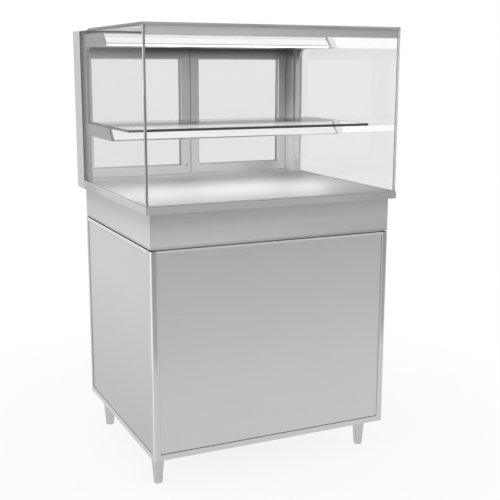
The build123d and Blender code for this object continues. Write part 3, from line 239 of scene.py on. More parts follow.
@dataclass(frozen=True)
class PaintedFade:
    """Painted light or shade: a change of tone from a start to an end along one axis.

    Args:
        axis: X, Y or Z.
        start: Where the change begins, in metres.
        end: Where it is complete.
        factor: Tone beyond the end; below 1 it paints shade, above 1 it paints light.
        mirrored: Takes both sides of the middle alike.
        only: Another fade, where the change applies.
    """

    axis: str
    start: float
    end: float
    factor: float = 1.0
    mirrored: bool = False
    only: PaintedFade | None = None

    def by(self, factor: float) -> PaintedFade:
        """The same stretch with its own tone beyond the end."""
        return replace(self, factor=factor)

    def share(self, graph: Graph) -> Value:
        """Build the share of the change at each spot.

        Args:
            graph: Nodes of the material.

        Returns:
            A value from 0 before the start to 1 beyond the end.
        """
        place = graph.along(self.axis)
        share = (place.size() if self.mirrored else place).between(self.start, self.end)
        return share * self.only.share(graph) if self.only else share


def shaded(colour: Triple, factor: float) -> Triple:
    """A colour made lighter or darker by a factor."""
    return tuple(min(1.0, channel * factor) for channel in colour)


class Finish:
    """A surface finish that knows how to build its material."""

    title: str

    def shader(self, graph: Graph) -> Value:
        """Build the surface shader of this finish."""
        raise NotImplementedError

    def material(self) -> bpy.types.Material:
        """Make the material of this finish once, and share it after that.

        Returns:
            The new or known material.
        """
        name = f"finish_{self.title}"
        known = bpy.data.materials.get(name)
        if known:
            return known
        made = bpy.data.materials.new(name)
        graph = emptied(made)
        graph.node("ShaderNodeOutputMaterial", inputs={"Surface": self.shader(graph)})
        return made


class Grain(Enum):
    """How brush marks are stretched: marks per metre along X, Y and Z."""

    LEVEL = (4.0, 4.0, 900.0)
    ACROSS = (4.0, 700.0, 700.0)
    UPRIGHT = (700.0, 700.0, 4.0)


@dataclass(frozen=True)
class BrushedSteel(Finish):
    """Brushed sheet metal: fine marks one way over soft clouds.

    Args:
        title: Name of the finish.
        colour: Middle colour.
        grain: Way that the marks run.
        roughness: Middle roughness.
        colour_play: How far marks and clouds change the colour, either way.
        roughness_play: How far they change the roughness.
        painted_light_and_shade: Painted light and shade, as changes of tone along the case.
        mark_share: Share of the marks in that change; the clouds have the rest.
        mark_detail: Fineness of the marks.
        mark_strength: How strongly the marks bend the light.
        mark_depth: Their depth, in millimetres.
        cloud_scale: Clouds per metre.
        cloud_detail: Fineness of the clouds.
    """

    title: str
    colour: Triple
    grain: Grain
    roughness: float = 0.36
    colour_play: float = 0.05
    roughness_play: float = 0.12
    painted_light_and_shade: tuple[PaintedFade, ...] = ()
    mark_share: float = 0.6
    mark_detail: float = 3.0
    mark_strength: float = 0.03
    mark_depth: float = 0.2
    cloud_scale: float = 5.0
    cloud_detail: float = 4.0

    def shader(self, graph: Graph) -> Value:
        """Build a metal whose roughness and colour follow the brush marks.

        Args:
            graph: Nodes of the material.

        Returns:
            The finished surface.
        """
        marks = graph.noise(graph.place(self.grain.value), 1.0, self.mark_detail)
        clouds = graph.noise(graph.place(), self.cloud_scale, self.cloud_detail)
        both = (marks * self.mark_share + clouds * (1 - self.mark_share)).at_most(1.0)
        sockets = {
            "Base Color": graph.paint_light_and_shade(graph.uneven(both, self.colour, self.colour_play), self.painted_light_and_shade),
            "Metallic": 1.0,
            "Roughness": self.roughness + self.roughness_play * (both - NOISE_MIDDLE),
            "Normal": graph.relief(marks, self.mark_strength, self.mark_depth),
        }
        return graph.node("ShaderNodeBsdfPrincipled", inputs=sockets)


@dataclass(frozen=True)
class PaneGlass(Finish):
    """Clear float glass with a faint tint and the odd wiped smear; lamps shine through it.

    Args:
        title: Name of the finish.
        tint: Share of each colour that passes a face.
        mirror: Share of the glass's mirroring that is kept.
        index: How strongly light is bent.
        smear: Roughness of the strongest smears.
        smear_scale: Smears per metre along X, Y and Z.
        smear_detail: Fineness of the smears' outlines.
    """

    title: str
    tint: Triple = (0.9, 0.905, 0.9)
    mirror: float = 1.0
    index: float = 1.3
    smear: float = 0.012
    smear_scale: Triple = (6.0, 6.0, 2.0)
    smear_detail: float = 4.0

    def shader(self, graph: Graph) -> Value:
        """Build glass that lets the rays from lamps pass.

        Args:
            graph: Nodes of the material.

        Returns:
            The finished surface.
        """
        smears = graph.noise(graph.place(self.smear_scale), 1.0, self.smear_detail)
        tint = (*self.tint, 1.0)
        sockets = {
            "Base Color": tint,
            "Roughness": (smears - NOISE_MIDDLE).at_least(0.0) * self.smear,
            "IOR": self.index,
            "Transmission Weight": 1.0,
        }
        glass = graph.node("ShaderNodeBsdfPrincipled", inputs=sockets)
        plain = {"Color": tint, "Roughness": 0.0, "IOR": self.index}
        bent = graph.node("ShaderNodeBsdfRefraction", inputs=plain)
        glass = graph.node("ShaderNodeMixShader", inputs={0: self.mirror, 1: bent, 2: glass})
        clear = graph.node("ShaderNodeBsdfTransparent", inputs={"Color": tint})
        return graph.node("ShaderNodeMixShader", inputs={0: graph.rays("Shadow"), 1: glass, 2: clear})


@dataclass(frozen=True)
class GroundRim(Finish):
    """Polished rim of a pane, seen edge on: grey, with faint grinding marks along it."""

    title: str
    colour: Triple
    painted_light_and_shade: tuple[PaintedFade, ...] = ()
    roughness: float = 0.22
    roughness_play: float = 0.2
    colour_play: float = 0.25
    drift_scale: float = 6.0
    grinding_scale: float = 400.0
    gloss: float = 0.6

    def shader(self, graph: Graph) -> Value:
        """Build a glossy grey that varies a little along the rim.

        Args:
            graph: Nodes of the material.

        Returns:
            The finished surface.
        """
        drift = graph.noise(graph.place(), self.drift_scale)
        grinding = graph.noise(graph.place(), self.grinding_scale)
        sockets = {
            "Base Color": graph.paint_light_and_shade(graph.uneven(drift, self.colour, self.colour_play), self.painted_light_and_shade),
            "Roughness": self.roughness + self.roughness_play * (grinding - NOISE_MIDDLE),
            "Specular IOR Level": self.gloss,
        }
        return graph.node("ShaderNodeBsdfPrincipled", inputs=sockets)


@dataclass(frozen=True)
class Diffuser(Finish):
    """Opal cover of a light box: white and softly lit from behind.

    Args:
        title: Name of the finish.
        glow: Light that the cover shows when it is looked at.
        painted_light_and_shade: Painted shade and highlights, as lines at pressed seams.
        light: Light that it gives the case.
        colour: The cover's own white.
        cool_white: Colour of its glow where the opal is thickest.
        roughness: Least roughness.
        roughness_play: How much the clouds add to it.
        thinning: Share of the white that the clouds leave.
        cloud_scale: Clouds per metre along X, Y and Z.
    """

    title: str
    glow: float = 0.6
    painted_light_and_shade: tuple[PaintedFade, ...] = ()
    light: float = 5.0
    colour: Triple = (0.75, 0.75, 0.75)
    cool_white: Triple = (0.96, 0.97, 1.0)
    roughness: float = 0.35
    roughness_play: float = 0.1
    thinning: float = 0.97
    cloud_scale: Triple = (2.0, 2.0, 40.0)

    def shader(self, graph: Graph) -> Value:
        """Build an opal white with an even glow.

        Args:
            graph: Nodes of the material.

        Returns:
            The finished surface.
        """
        cloud = graph.noise(graph.place(self.cloud_scale), 1.0)
        white = graph.mixed(cloud, shaded(self.colour, self.thinning), self.colour)
        glow = graph.mixed(cloud, self.cool_white, (1.0, 1.0, 1.0))
        sockets = {
            "Base Color": graph.paint_light_and_shade(white, self.painted_light_and_shade),
            "Roughness": self.roughness + self.roughness_play * cloud,
            "Emission Color": graph.paint_light_and_shade(glow, self.painted_light_and_shade),
            "Emission Strength": self.glow,
        }
        cover = graph.node("ShaderNodeBsdfPrincipled", inputs=sockets)
        tubes = graph.node("ShaderNodeEmission", inputs={"Strength": self.light})
        seen = graph.rays("Camera", "Transmission")
        return graph.node("ShaderNodeMixShader", inputs={0: seen, 1: tubes, 2: cover})


@dataclass(frozen=True)
class Coated(Finish):
    """Moulded, painted or sprayed surface with a fine skin texture and uneven gloss."""

    title: str
    colour: Triple
    roughness: float
    skin_scale: float = 900.0
    skin_strength: float = 0.08
    colour_play: float = 0.06
    painted_light_and_shade: tuple[PaintedFade, ...] = ()
    skin_depth: float = 0.3
    patch_scale: float = 9.0
    patch_detail: float = 3.0
    roughness_play: float = 0.1

    def shader(self, graph: Graph) -> Value:
        """Build a coat with a fine skin.

        Args:
            graph: Nodes of the material.

        Returns:
            The finished surface.
        """
        skin_marks = graph.noise(graph.place(), self.skin_scale)
        patches = graph.noise(graph.place(), self.patch_scale, self.patch_detail)
        sockets = {
            "Base Color": graph.paint_light_and_shade(graph.uneven(patches, self.colour, self.colour_play), self.painted_light_and_shade),
            "Roughness": self.roughness + self.roughness_play * (patches - NOISE_MIDDLE),
            "Normal": graph.relief(skin_marks, self.skin_strength, self.skin_depth),
        }
        return graph.node("ShaderNodeBsdfPrincipled", inputs=sockets)


@dataclass(frozen=True)
class Galvanised(Finish):
    """Zinc-coated sheet with its pattern of dull crystals."""

    title: str
    colour: Triple = (0.56, 0.57, 0.58)
    crystals_per_metre: float = 70.0
    darkest: float = 0.85
    lightest: float = 1.12
    roughness: float = 0.35
    roughness_play: float = 0.2

    def shader(self, graph: Graph) -> Value:
        """Build a metal whose crystals differ in tone and gloss.

        Args:
            graph: Nodes of the material.

        Returns:
            The finished surface.
        """
        pattern = {"Vector": graph.place(), "Scale": self.crystals_per_metre}
        cells = graph.node("ShaderNodeTexVoronoi", inputs=pattern, output="Color")
        tone = graph.node("ShaderNodeSeparateColor", inputs={0: cells}, output="Red")
        dark, light = shaded(self.colour, self.darkest), shaded(self.colour, self.lightest)
        sockets = {
            "Base Color": graph.mixed(tone, dark, light),
            "Metallic": 1.0,
            "Roughness": self.roughness + self.roughness_play * tone,
        }
        return graph.node("ShaderNodeBsdfPrincipled", inputs=sockets)


@dataclass(frozen=True)
class Lit(Finish):
    """Glowing segments of a display, with a faint unevenness."""

    title: str
    colour: Triple
    glow: float = 1.0
    dimmest: float = 0.8
    unlit: float = 0.3
    drift_scale: float = 400.0

    def shader(self, graph: Graph) -> Value:
        """Build a glowing colour.

        Args:
            graph: Nodes of the material.

        Returns:
            The finished surface.
        """
        drift = graph.noise(graph.place(), self.drift_scale)
        sockets = {
            "Base Color": (*shaded(self.colour, self.unlit), 1.0),
            "Emission Color": graph.mixed(drift, shaded(self.colour, self.dimmest), self.colour),
            "Emission Strength": self.glow,
        }
        return graph.node("ShaderNodeBsdfPrincipled", inputs=sockets)


STEEL = (0.59, 0.595, 0.6)

# Stretches that several painted tones of light and shade share.
LEFT = PaintedFade("X", -0.3, -0.39)
RIGHT = PaintedFade("X", 0.3, 0.39)
DOOR_INSIDE = PaintedFade("Y", 0.357, 0.343)
COLUMN_INSIDE = PaintedFade("X", 0.4248, 0.4244, mirrored=True)
COLLAR_LOWER = PaintedFade("Z", 0.84, 0.776)
DECK_TOP = PaintedFade("Z", 0.8928, 0.8938)
POST_UPPER = PaintedFade("Z", 0.38, 0.46)
BELOW_TOP_BOX = PaintedFade("Z", 1.2, 1.15)

# Painted shade: darker low down, towards the floor.
SIDE_PAINTED_SHADE = (PaintedFade("Z", 0.62, 0.2, 0.82),)
# Painted shade under the deck, to the rear, at the folded foot, low down on the right and on the sides, and
# painted light low down.
COLLAR_PAINTED_LIGHT = (
    PaintedFade("Z", 0.82, 0.873, 0.82),
    PaintedFade("Y", -0.3, 0.32, 0.82),
    COLLAR_LOWER.by(1.17),
    PaintedFade("Z", 0.7735, 0.7725, 0.8),
    PaintedFade("X", -0.2, 0.3, 0.82, only=COLLAR_LOWER),
    PaintedFade("X", 0.4055, 0.4065, 0.92, mirrored=True),
)
# Painted reflections: in front, a darker outer part above and a painted highlight on the outer corner, most
# of all above; painted shade behind the front.
POST_PAINTED_REFLECTIONS = (
    PaintedFade("X", 0.3885, 0.394, 0.7, mirrored=True, only=POST_UPPER),
    PaintedFade("X", 0.403, 0.406, 1.2, mirrored=True),
    PaintedFade("X", 0.403, 0.406, 1.65, mirrored=True, only=POST_UPPER),
    PaintedFade("Y", -0.3718, -0.3688, 0.68),
)
# Painted shade on the inner faces, more so at the head, and painted light on the right column, more so at
# its foot.
COLUMN_PAINTED_LIGHT = (
    COLUMN_INSIDE.by(0.78),
    PaintedFade("Z", 1.1, 1.3, 0.78, only=COLUMN_INSIDE),
    PaintedFade("Z", 1.2, 1.0, 1.9, only=RIGHT),
    RIGHT.by(1.35),
)
# A painted highlight on the upper edge.
RAIL_PAINTED_HIGHLIGHT = (PaintedFade("Z", 0.7545, 0.7575, 1.3),)
# Painted shade on the top and a painted highlight on the lip of the shelf's box.
BOX_PAINTED_LIGHT = (
    PaintedFade("Z", 1.0955, 1.0965, 0.78, only=BELOW_TOP_BOX),
    PaintedFade("Z", 1.0615, 1.0605, 1.5),
)
# Painted deep shade under the top light box.
HEAD_PAINTED_SHADE = (PaintedFade("Z", 1.314, 1.346, 0.2, only=DOOR_INSIDE),)
# Painted shade inside towards the head, painted light at the foot, and painted shade outside.
DOOR_PAINTED_LIGHT = (
    *HEAD_PAINTED_SHADE,
    PaintedFade("Z", 1.2, 1.31, 0.78, only=DOOR_INSIDE),
    PaintedFade("Z", 1.1, 1.0, 1.1, only=DOOR_INSIDE),
    PaintedFade("Y", 0.3605, 0.3635, 0.66),
)
# Painted shade: a darker fold, and a top that darkens to the rear, to the front and to the right.
DECK_PAINTED_SHADE = (
    PaintedFade("Z", 0.8925, 0.8915, 0.8),
    PaintedFade("Y", 0.04, 0.15, 0.8),
    PaintedFade("Y", -0.17, -0.385, 0.7, only=DECK_TOP),
    PaintedFade("X", 0.2, 0.36, 0.87),
)
# Painted shade towards the head, with painted light on the left plate, and more on the right one, most of
# all at its foot.
PLATE_PAINTED_LIGHT = (
    PaintedFade("Z", 1.1, 1.36, 0.85),
    LEFT.by(1.5),
    RIGHT.by(2.3),
    PaintedFade("Z", 1.1, 1.0, 1.3, only=RIGHT),
)
# Painted highlights: brighter rims at the right-hand end, and a little brighter ones at the upper left.
PALE_RIM_PAINTED_HIGHLIGHTS = (
    PaintedFade("X", 0.39, 0.4, 2.2),
    PaintedFade("Z", 1.2, 1.225, 1.3, only=LEFT),
)
# Painted shade and a painted highlight along a seam line, and painted shade on the lip of the top cover.
SEAM_PAINTED_LIGHT = (
    PaintedFade("Z", 1.3815, 1.383, 0.76),
    PaintedFade("Z", 1.3855, 1.387, 1.3),
    PaintedFade("Z", 1.3645, 1.363, 0.62),
)

# Painted light and shade: the collar, column, box, leg, deck and door steels are lighter or darker copies of
# one stainless steel, set to how much light falls on each part.
PANEL_STEEL = BrushedSteel("brushed_panel", STEEL, Grain.LEVEL, colour_play=0.1, roughness_play=0.2)
SIDE_STEEL = replace(PANEL_STEEL, title="brushed_side", painted_light_and_shade=SIDE_PAINTED_SHADE)
COLLAR_STEEL = BrushedSteel(
    "brushed_collar", shaded(STEEL, 1.03), Grain.LEVEL, colour_play=0.1, painted_light_and_shade=COLLAR_PAINTED_LIGHT
)
FRAME_STEEL = BrushedSteel("satin_frame", STEEL, Grain.UPRIGHT, roughness=0.3, painted_light_and_shade=POST_PAINTED_REFLECTIONS)
COLUMN_STEEL = BrushedSteel(
    "satin_column", shaded(STEEL, 0.9), Grain.UPRIGHT, roughness=0.32, painted_light_and_shade=COLUMN_PAINTED_LIGHT
)
RAIL_STEEL = BrushedSteel("satin_rail", STEEL, Grain.LEVEL, roughness=0.3, painted_light_and_shade=RAIL_PAINTED_HIGHLIGHT)
SILL_STEEL = BrushedSteel("satin_sill", STEEL, Grain.LEVEL, roughness=0.3)
FILL_STEEL = BrushedSteel("joint_filler", shaded(STEEL, 0.95), Grain.LEVEL, roughness=0.4)
BOX_STEEL = BrushedSteel("satin_box", shaded(STEEL, 1.1), Grain.LEVEL, roughness=0.3, painted_light_and_shade=BOX_PAINTED_LIGHT)
HEAD_STEEL = BrushedSteel("satin_head", STEEL, Grain.LEVEL, roughness=0.34, painted_light_and_shade=HEAD_PAINTED_SHADE)
DECK_STEEL = BrushedSteel(
    "polished_deck", (0.735, 0.74, 0.745), Grain.ACROSS, roughness=0.46, painted_light_and_shade=DECK_PAINTED_SHADE
)
DOOR_STEEL = BrushedSteel(
    "satin_door", (0.91, 0.915, 0.92), Grain.UPRIGHT, roughness=0.34, painted_light_and_shade=DOOR_PAINTED_LIGHT
)
BEAD_STEEL = BrushedSteel("glazing_bead", (0.62, 0.62, 0.62), Grain.UPRIGHT, roughness=0.4)
PLATE_STEEL = BrushedSteel(
    "satin_plate", (0.32, 0.322, 0.325), Grain.UPRIGHT, roughness=0.4, painted_light_and_shade=PLATE_PAINTED_LIGHT
)
LEG_STEEL = BrushedSteel("satin_leg", shaded(STEEL, 0.9), Grain.UPRIGHT, roughness=0.32)
BRIGHT = BrushedSteel("bright_fittings", (0.68, 0.68, 0.69), Grain.UPRIGHT, roughness=0.18)
COPPER = BrushedSteel("drawn_copper", (0.72, 0.38, 0.26), Grain.UPRIGHT, roughness=0.3, colour_play=0.18)
FIN_METAL = BrushedSteel("fin_aluminium", (0.74, 0.75, 0.76), Grain.UPRIGHT)
ZINC = Galvanised("zinc_sheet")
# Painted shade: the band darkens towards the right.
BAND = Coated("band_enamel", (1.0, 1.0, 1.0), 0.4, painted_light_and_shade=(PaintedFade("X", -0.1, 0.3, 0.8),))
GASKET = Coated("grey_gasket", (0.5, 0.5, 0.5), 0.6, skin_scale=300.0)
SILICONE = Coated("clear_silicone", (0.5, 0.51, 0.51), 0.3, skin_scale=60.0)
LENS = Coated("display_lens", (0.012, 0.01, 0.01), 0.08, skin_scale=30.0)
FIGURES = Lit("lit_figures", (1.0, 0.16, 0.08), 1.4)
MARKS = Coated("white_marks", (0.8, 0.8, 0.78), 0.5)
RUBBER = Coated("black_rubber", (0.022, 0.022, 0.023), 0.7, skin_scale=500.0, skin_strength=0.15)
ENAMEL = Coated("black_enamel", (0.025, 0.025, 0.027), 0.3, skin_scale=260.0)
PLASTIC = Coated("black_plastic", (0.03, 0.03, 0.032), 0.42)
FOAM = Coated(
    "pale_foam", (0.72, 0.66, 0.46), 0.85, skin_scale=320.0, skin_strength=0.5, colour_play=0.1
)
CLEAR = PaneGlass("clear_pane")
LEFT_CLEAR = PaneGlass("left_pane", (0.895, 0.9, 0.895), mirror=0.4)
TOP_CLEAR = PaneGlass("top_pane", mirror=0.2)
RIGHT_CLEAR = PaneGlass("right_pane", (0.91, 0.915, 0.91))
SHELF_CLEAR = PaneGlass("shelf_pane", mirror=0.25)
DOOR_CLEAR = PaneGlass("door_pane", (0.88, 0.885, 0.88))
# Painted reflections: the three ground rims are lighter and darker copies of one glass edge, and the ground
# rim has a painted highlight on the front edge of the top pane.
RIM = GroundRim("ground_rim", (0.12, 0.123, 0.123), (PaintedFade("Y", -0.3885, -0.3889, 3.2),))
DARK_RIM = GroundRim("dark_rim", (0.056, 0.058, 0.058))
PALE_RIM = GroundRim("pale_rim", (0.45, 0.455, 0.455), PALE_RIM_PAINTED_HIGHLIGHTS)
OPAL = Diffuser("opal_cover", glow=0.64)
# The top cover's seam lines are painted shade and a painted highlight.
OPAL_PAINTED_SEAM_LIGHT = Diffuser("opal_with_painted_seam_light", painted_light_and_shade=SEAM_PAINTED_LIGHT)


def placed(name: str, data: bpy.types.ID) -> bpy.types.Object:
    """Put an object into the scene.

    Args:
        name: Name of the object.
        data: Its mesh, lamp or camera.

    Returns:
        The new object.
    """
    thing = bpy.data.objects.new(name, data)
    bpy.context.scene.collection.objects.link(thing)
    return thing


def solid_mesh(name: str, shape: bmesh.types.BMesh) -> bpy.types.Mesh:
    """Turn a shape into a mesh whose faces point outwards and whose arrises stay sharp.

    Args:
        name: Name of the mesh.
        shape: The finished shape, which is freed here.

    Returns:
        The new mesh.
    """
    bmesh.ops.recalc_face_normals(shape, faces=shape.faces)
    mesh = bpy.data.meshes.new(name)
    shape.to_mesh(mesh)
    shape.free()
    mesh.set_sharp_from_angle(angle=SHARP_ANGLE)
    return mesh


class Workshop:
    """Turns finished meshes into pieces that ride on the case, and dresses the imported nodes."""

    def __init__(self, nodes: dict[str, bpy.types.Object]) -> None:
        """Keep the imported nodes."""
        self.nodes = nodes

    def dress(self, finish: Finish, *names: str) -> None:
        """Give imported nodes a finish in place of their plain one.

        Args:
            finish: The new finish.
            *names: Names of the nodes.
        """
        for name in names:
            for slot in self.nodes[name].material_slots:
                slot.material = finish.material()
        LOG.info("finish %s on %s", finish.title, ", ".join(names))

    def add(
        self,
        name: str,
        shape: bmesh.types.BMesh,
        finishes: Iterable[Finish],
        body: str = CASE,
        slot: str | None = None,
        replaces: Iterable[str] = (),
    ) -> None:
        """Make a piece from a shape, which is freed here; the arguments are those of adopt."""
        self.adopt(name, solid_mesh(name, shape), finishes, body, slot, replaces)

    def adopt(
        self,
        name: str,
        mesh: bpy.types.Mesh,
        finishes: Iterable[Finish],
        body: str = CASE,
        slot: str | None = None,
        replaces: Iterable[str] = (),
    ) -> None:
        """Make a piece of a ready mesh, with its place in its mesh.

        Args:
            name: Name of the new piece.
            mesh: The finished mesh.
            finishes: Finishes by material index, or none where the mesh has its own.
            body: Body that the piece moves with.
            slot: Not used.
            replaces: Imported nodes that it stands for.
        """
        piece = placed(name, mesh)
        for finish in finishes:
            mesh.materials.append(finish.material())
        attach(piece, body)
        if replaces:
            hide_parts(*replaces)
        LOG.info("piece %s: %d faces on %s", name, len(mesh.polygons), body)


def point(x: float, y: float, z: float) -> Vector:
    """Point given in millimetres, as the frame's metres."""
    return Vector((x, y, z)) * MILLIMETRE


def skin(shape: bmesh.types.BMesh, rings: list[list[bmesh.types.BMVert]], closed: bool = False) -> None:
    """Join neighbouring rings of vertices with faces.

    Args:
        shape: The mesh under construction.
        rings: Rings of equal length; a ring of one vertex closes to a point.
        closed: Joins the last ring to the first.
    """
    for first, second in zip(rings, rings[1:] + (rings[:1] if closed else [])):
        steps = max(len(first), len(second))
        for place in range(steps):
            after = (place + 1) % steps
            outline = (
                first[place % len(first)],
                first[after % len(first)],
                second[after % len(second)],
                second[place % len(second)],
            )
            shape.faces.new(tuple(dict.fromkeys(outline))).smooth = True


def bar(shape: bmesh.types.BMesh, start: Sequence[Vector], end: Sequence[Vector]) -> None:
    """Add a bar between two outlines and close its ends.

    Args:
        shape: The mesh under construction.
        start: Corners of one end.
        end: Corners of the other end, in the same order.
    """
    rings = [[shape.verts.new(spot) for spot in outline] for outline in (start, end)]
    skin(shape, rings)
    for ring in rings:
        shape.faces.new(ring)


def slab(shape: bmesh.types.BMesh, low: Vector, high: Vector, arris: float) -> None:
    """Add a block with softened edges.

    Args:
        shape: The mesh under construction.
        low: Its lowest corner, in metres.
        high: Its highest corner, in metres.
        arris: Width of the softened edges, in millimetres.
    """
    matrix = Matrix.Translation((low + high) / 2) @ Matrix.Diagonal((*(high - low), 1.0))
    made = bmesh.ops.create_cube(shape, size=1.0, matrix=matrix)
    edges = list({edge for vertex in made["verts"] for edge in vertex.link_edges})
    bmesh.ops.bevel(
        shape, geom=edges, offset=arris * MILLIMETRE, segments=1, affect="EDGES", profile=0.5
    )


def turned(
    shape: bmesh.types.BMesh,
    centre: Vector,
    axis: Vector,
    profile: Iterable[tuple[float, float]],
    sides: int = 32,
    closed: bool = False,
    hexagon_from: int | None = None,
) -> None:
    """Add a turned form.

    Args:
        shape: The mesh under construction.
        centre: Foot of the axis, in metres.
        axis: Direction of the axis.
        profile: Radius and height pairs in millimetres; a radius of 0 closes to a point.
        sides: Steps round the axis.
        closed: Joins the last ring to the first, for a ring or sleeve.
        hexagon_from: From this pair on, rings are hexagons of that width across flats.
    """
    axis = axis.normalized()
    across = axis.orthogonal().normalized()
    beside = axis.cross(across)
    facet = math.pi / 3
    rings = []
    for number, (radius, height) in enumerate(profile):
        middle = centre + axis * height * MILLIMETRE
        if radius == 0:
            rings.append([shape.verts.new(middle)])
            continue
        ring = []
        for step in range(sides):
            turn = 2 * math.pi * step / sides
            reach = radius * MILLIMETRE
            if hexagon_from is not None and number >= hexagon_from:
                reach /= math.cos((turn + facet / 2) % facet - facet / 2)
            outward = across * math.cos(turn) + beside * math.sin(turn)
            ring.append(shape.verts.new(middle + outward * reach))
        rings.append(ring)
    skin(shape, rings, closed)


def moulding(
    shape: bmesh.types.BMesh,
    window: tuple[float, float, float, float],
    section: Iterable[tuple[float, float]],
    level: bool = False,
) -> None:
    """Add a mitred frame round a window, all in metres.

    Args:
        shape: The mesh under construction.
        window: Low and high X, then low and high Z, or Y where the frame lies level.
        section: Inset from the window's edge, and place across the frame, of each corner of its section.
        level: Lays the frame down.
    """
    x_low, x_high, low, high = window
    rings = []
    for inset, place in section:
        spots = (
            (x_low + inset, low + inset),
            (x_high - inset, low + inset),
            (x_high - inset, high - inset),
            (x_low + inset, high - inset),
        )
        rings.append([shape.verts.new((x, y, place) if level else (x, place, y)) for x, y in spots])
    skin(shape, rings, closed=True)


@dataclass(frozen=True)
class Block:
    """A block with softened edges, by two corners seen from a spot."""

    low: Triple
    high: Triple
    arris: float

    def add(self, shape: bmesh.types.BMesh, spot: Vector) -> None:
        """Add the block to a shape."""
        slab(shape, spot + point(*self.low), spot + point(*self.high), self.arris)


@dataclass(frozen=True)
class DomeScrew:
    """Dome head with a hexagon socket, standing on a face."""

    radius: float
    height: float
    sides: int = 24

    OUTLINE = (
        (0.0, 0.0),
        (1.0, 0.0),
        (1.0, 0.25),
        (0.93, 0.6),
        (0.76, 0.88),
        (0.56, 1.0),
        (0.42, 1.0),
        (0.42, 0.3),
        (0.0, 0.22),
    )
    SOCKET_FROM = 6

    def add(self, shape: bmesh.types.BMesh, foot: Vector, axis: Vector) -> None:
        """Add the head to a shape."""
        profile = [(self.radius * reach, self.height * rise) for reach, rise in self.OUTLINE]
        turned(shape, foot, axis, profile, self.sides, hexagon_from=self.SOCKET_FROM)


class Layout:
    """A way of repeating one shape, built as a tree of nodes with named inputs."""

    title: str
    extra: tuple[tuple[str, str], ...]

    LINE = {"mode": "OFFSET", "count_mode": "TOTAL"}

    def values(self) -> dict[str, object]:
        """Input values by name."""
        raise NotImplementedError

    def spread(self, graph: Graph, given: dict[str, Value], sample: Value) -> Value:
        """Place instances of the sample."""
        raise NotImplementedError

    def tree(self) -> bpy.types.NodeTree:
        """Build the tree of this layout once, and share it after that.

        Returns:
            The new or known tree.
        """
        known = bpy.data.node_groups.get(self.title)
        if known:
            return known
        tree = bpy.data.node_groups.new(self.title, "GeometryNodeTree")
        for way in ("INPUT", "OUTPUT"):
            tree.interface.new_socket("Geometry", in_out=way, socket_type="NodeSocketGeometry")
        sockets = (("Shape", "NodeSocketObject"), ("Finish", "NodeSocketMaterial"), *self.extra)
        for name, kind in sockets:
            tree.interface.new_socket(name, in_out="INPUT", socket_type=kind)
        graph = Graph(tree)
        entry = graph.node("NodeGroupInput")
        given = {name: entry.other(name) for name, _ in sockets}
        wanted = {"Object": given["Shape"], "As Instance": True}
        sample = graph.node("GeometryNodeObjectInfo", inputs=wanted, output="Geometry")
        solid = graph.node("GeometryNodeRealizeInstances", inputs={0: self.spread(graph, given, sample)})
        dressing = {"Geometry": solid, "Material": given["Finish"]}
        dressed = graph.node("GeometryNodeSetMaterial", inputs=dressing)
        graph.node("NodeGroupOutput", inputs={0: dressed})
        return tree

    def mesh(self, shape: bmesh.types.BMesh, finish: Finish) -> bpy.types.Mesh:
        """Repeat a shape.

        Args:
            shape: One copy, which is freed here.
            finish: Finish of all the copies.

        Returns:
            Everything as one plain mesh.
        """
        sample = placed("sample", solid_mesh("sample", shape))
        holder = placed("holder", bpy.data.meshes.new("holder"))
        modifier = holder.modifiers.new("repeat", "NODES")
        modifier.node_group = self.tree()
        sockets = modifier.node_group.interface.items_tree
        keys = {item.name: item.identifier for item in sockets if item.in_out == "INPUT"}
        for name, value in {"Shape": sample, "Finish": finish.material(), **self.values()}.items():
            modifier[keys[name]] = value
        evaluated = holder.evaluated_get(bpy.context.evaluated_depsgraph_get())
        made = bpy.data.meshes.new_from_object(evaluated)
        holder.modifiers.remove(modifier)
        for thing in (holder, sample):
            bpy.data.objects.remove(thing)
        return made


@dataclass(frozen=True)
class Rows(Layout):
    """A row of rows: a count and a step each way."""

    count: int
    step: Vector
    count_across: int = 1
    step_across: Vector = Vector((0.0, 0.0, 0.0))
    title = "rows"
    extra = (
        ("Count", "NodeSocketInt"),
        ("Step", "NodeSocketVector"),
        ("Count Across", "NodeSocketInt"),
        ("Step Across", "NodeSocketVector"),
    )

    def values(self) -> dict[str, object]:
        """Input values by name."""
        return {
            "Count": self.count,
            "Step": self.step,
            "Count Across": self.count_across,
            "Step Across": self.step_across,
        }

    def spread(self, graph: Graph, given: dict[str, Value], sample: Value) -> Value:
        """Place the sample on a line of lines.

        Args:
            graph: Nodes of the layout.
            given: The layout's inputs by name.
            sample: The shape that is repeated.

        Returns:
            The copies, as instances.
        """
        sockets = {"Count": given["Count"], "Offset": given["Step"]}
        row = graph.node("GeometryNodeMeshLine", self.LINE, sockets)
        sockets = {"Count": given["Count Across"], "Offset": given["Step Across"]}
        column = graph.node("GeometryNodeMeshLine", self.LINE, sockets)
        lines = graph.node("GeometryNodeInstanceOnPoints", inputs={"Points": column, "Instance": row})
        points = graph.node("GeometryNodeRealizeInstances", inputs={0: lines})
        return graph.node("GeometryNodeInstanceOnPoints", inputs={"Points": points, "Instance": sample})


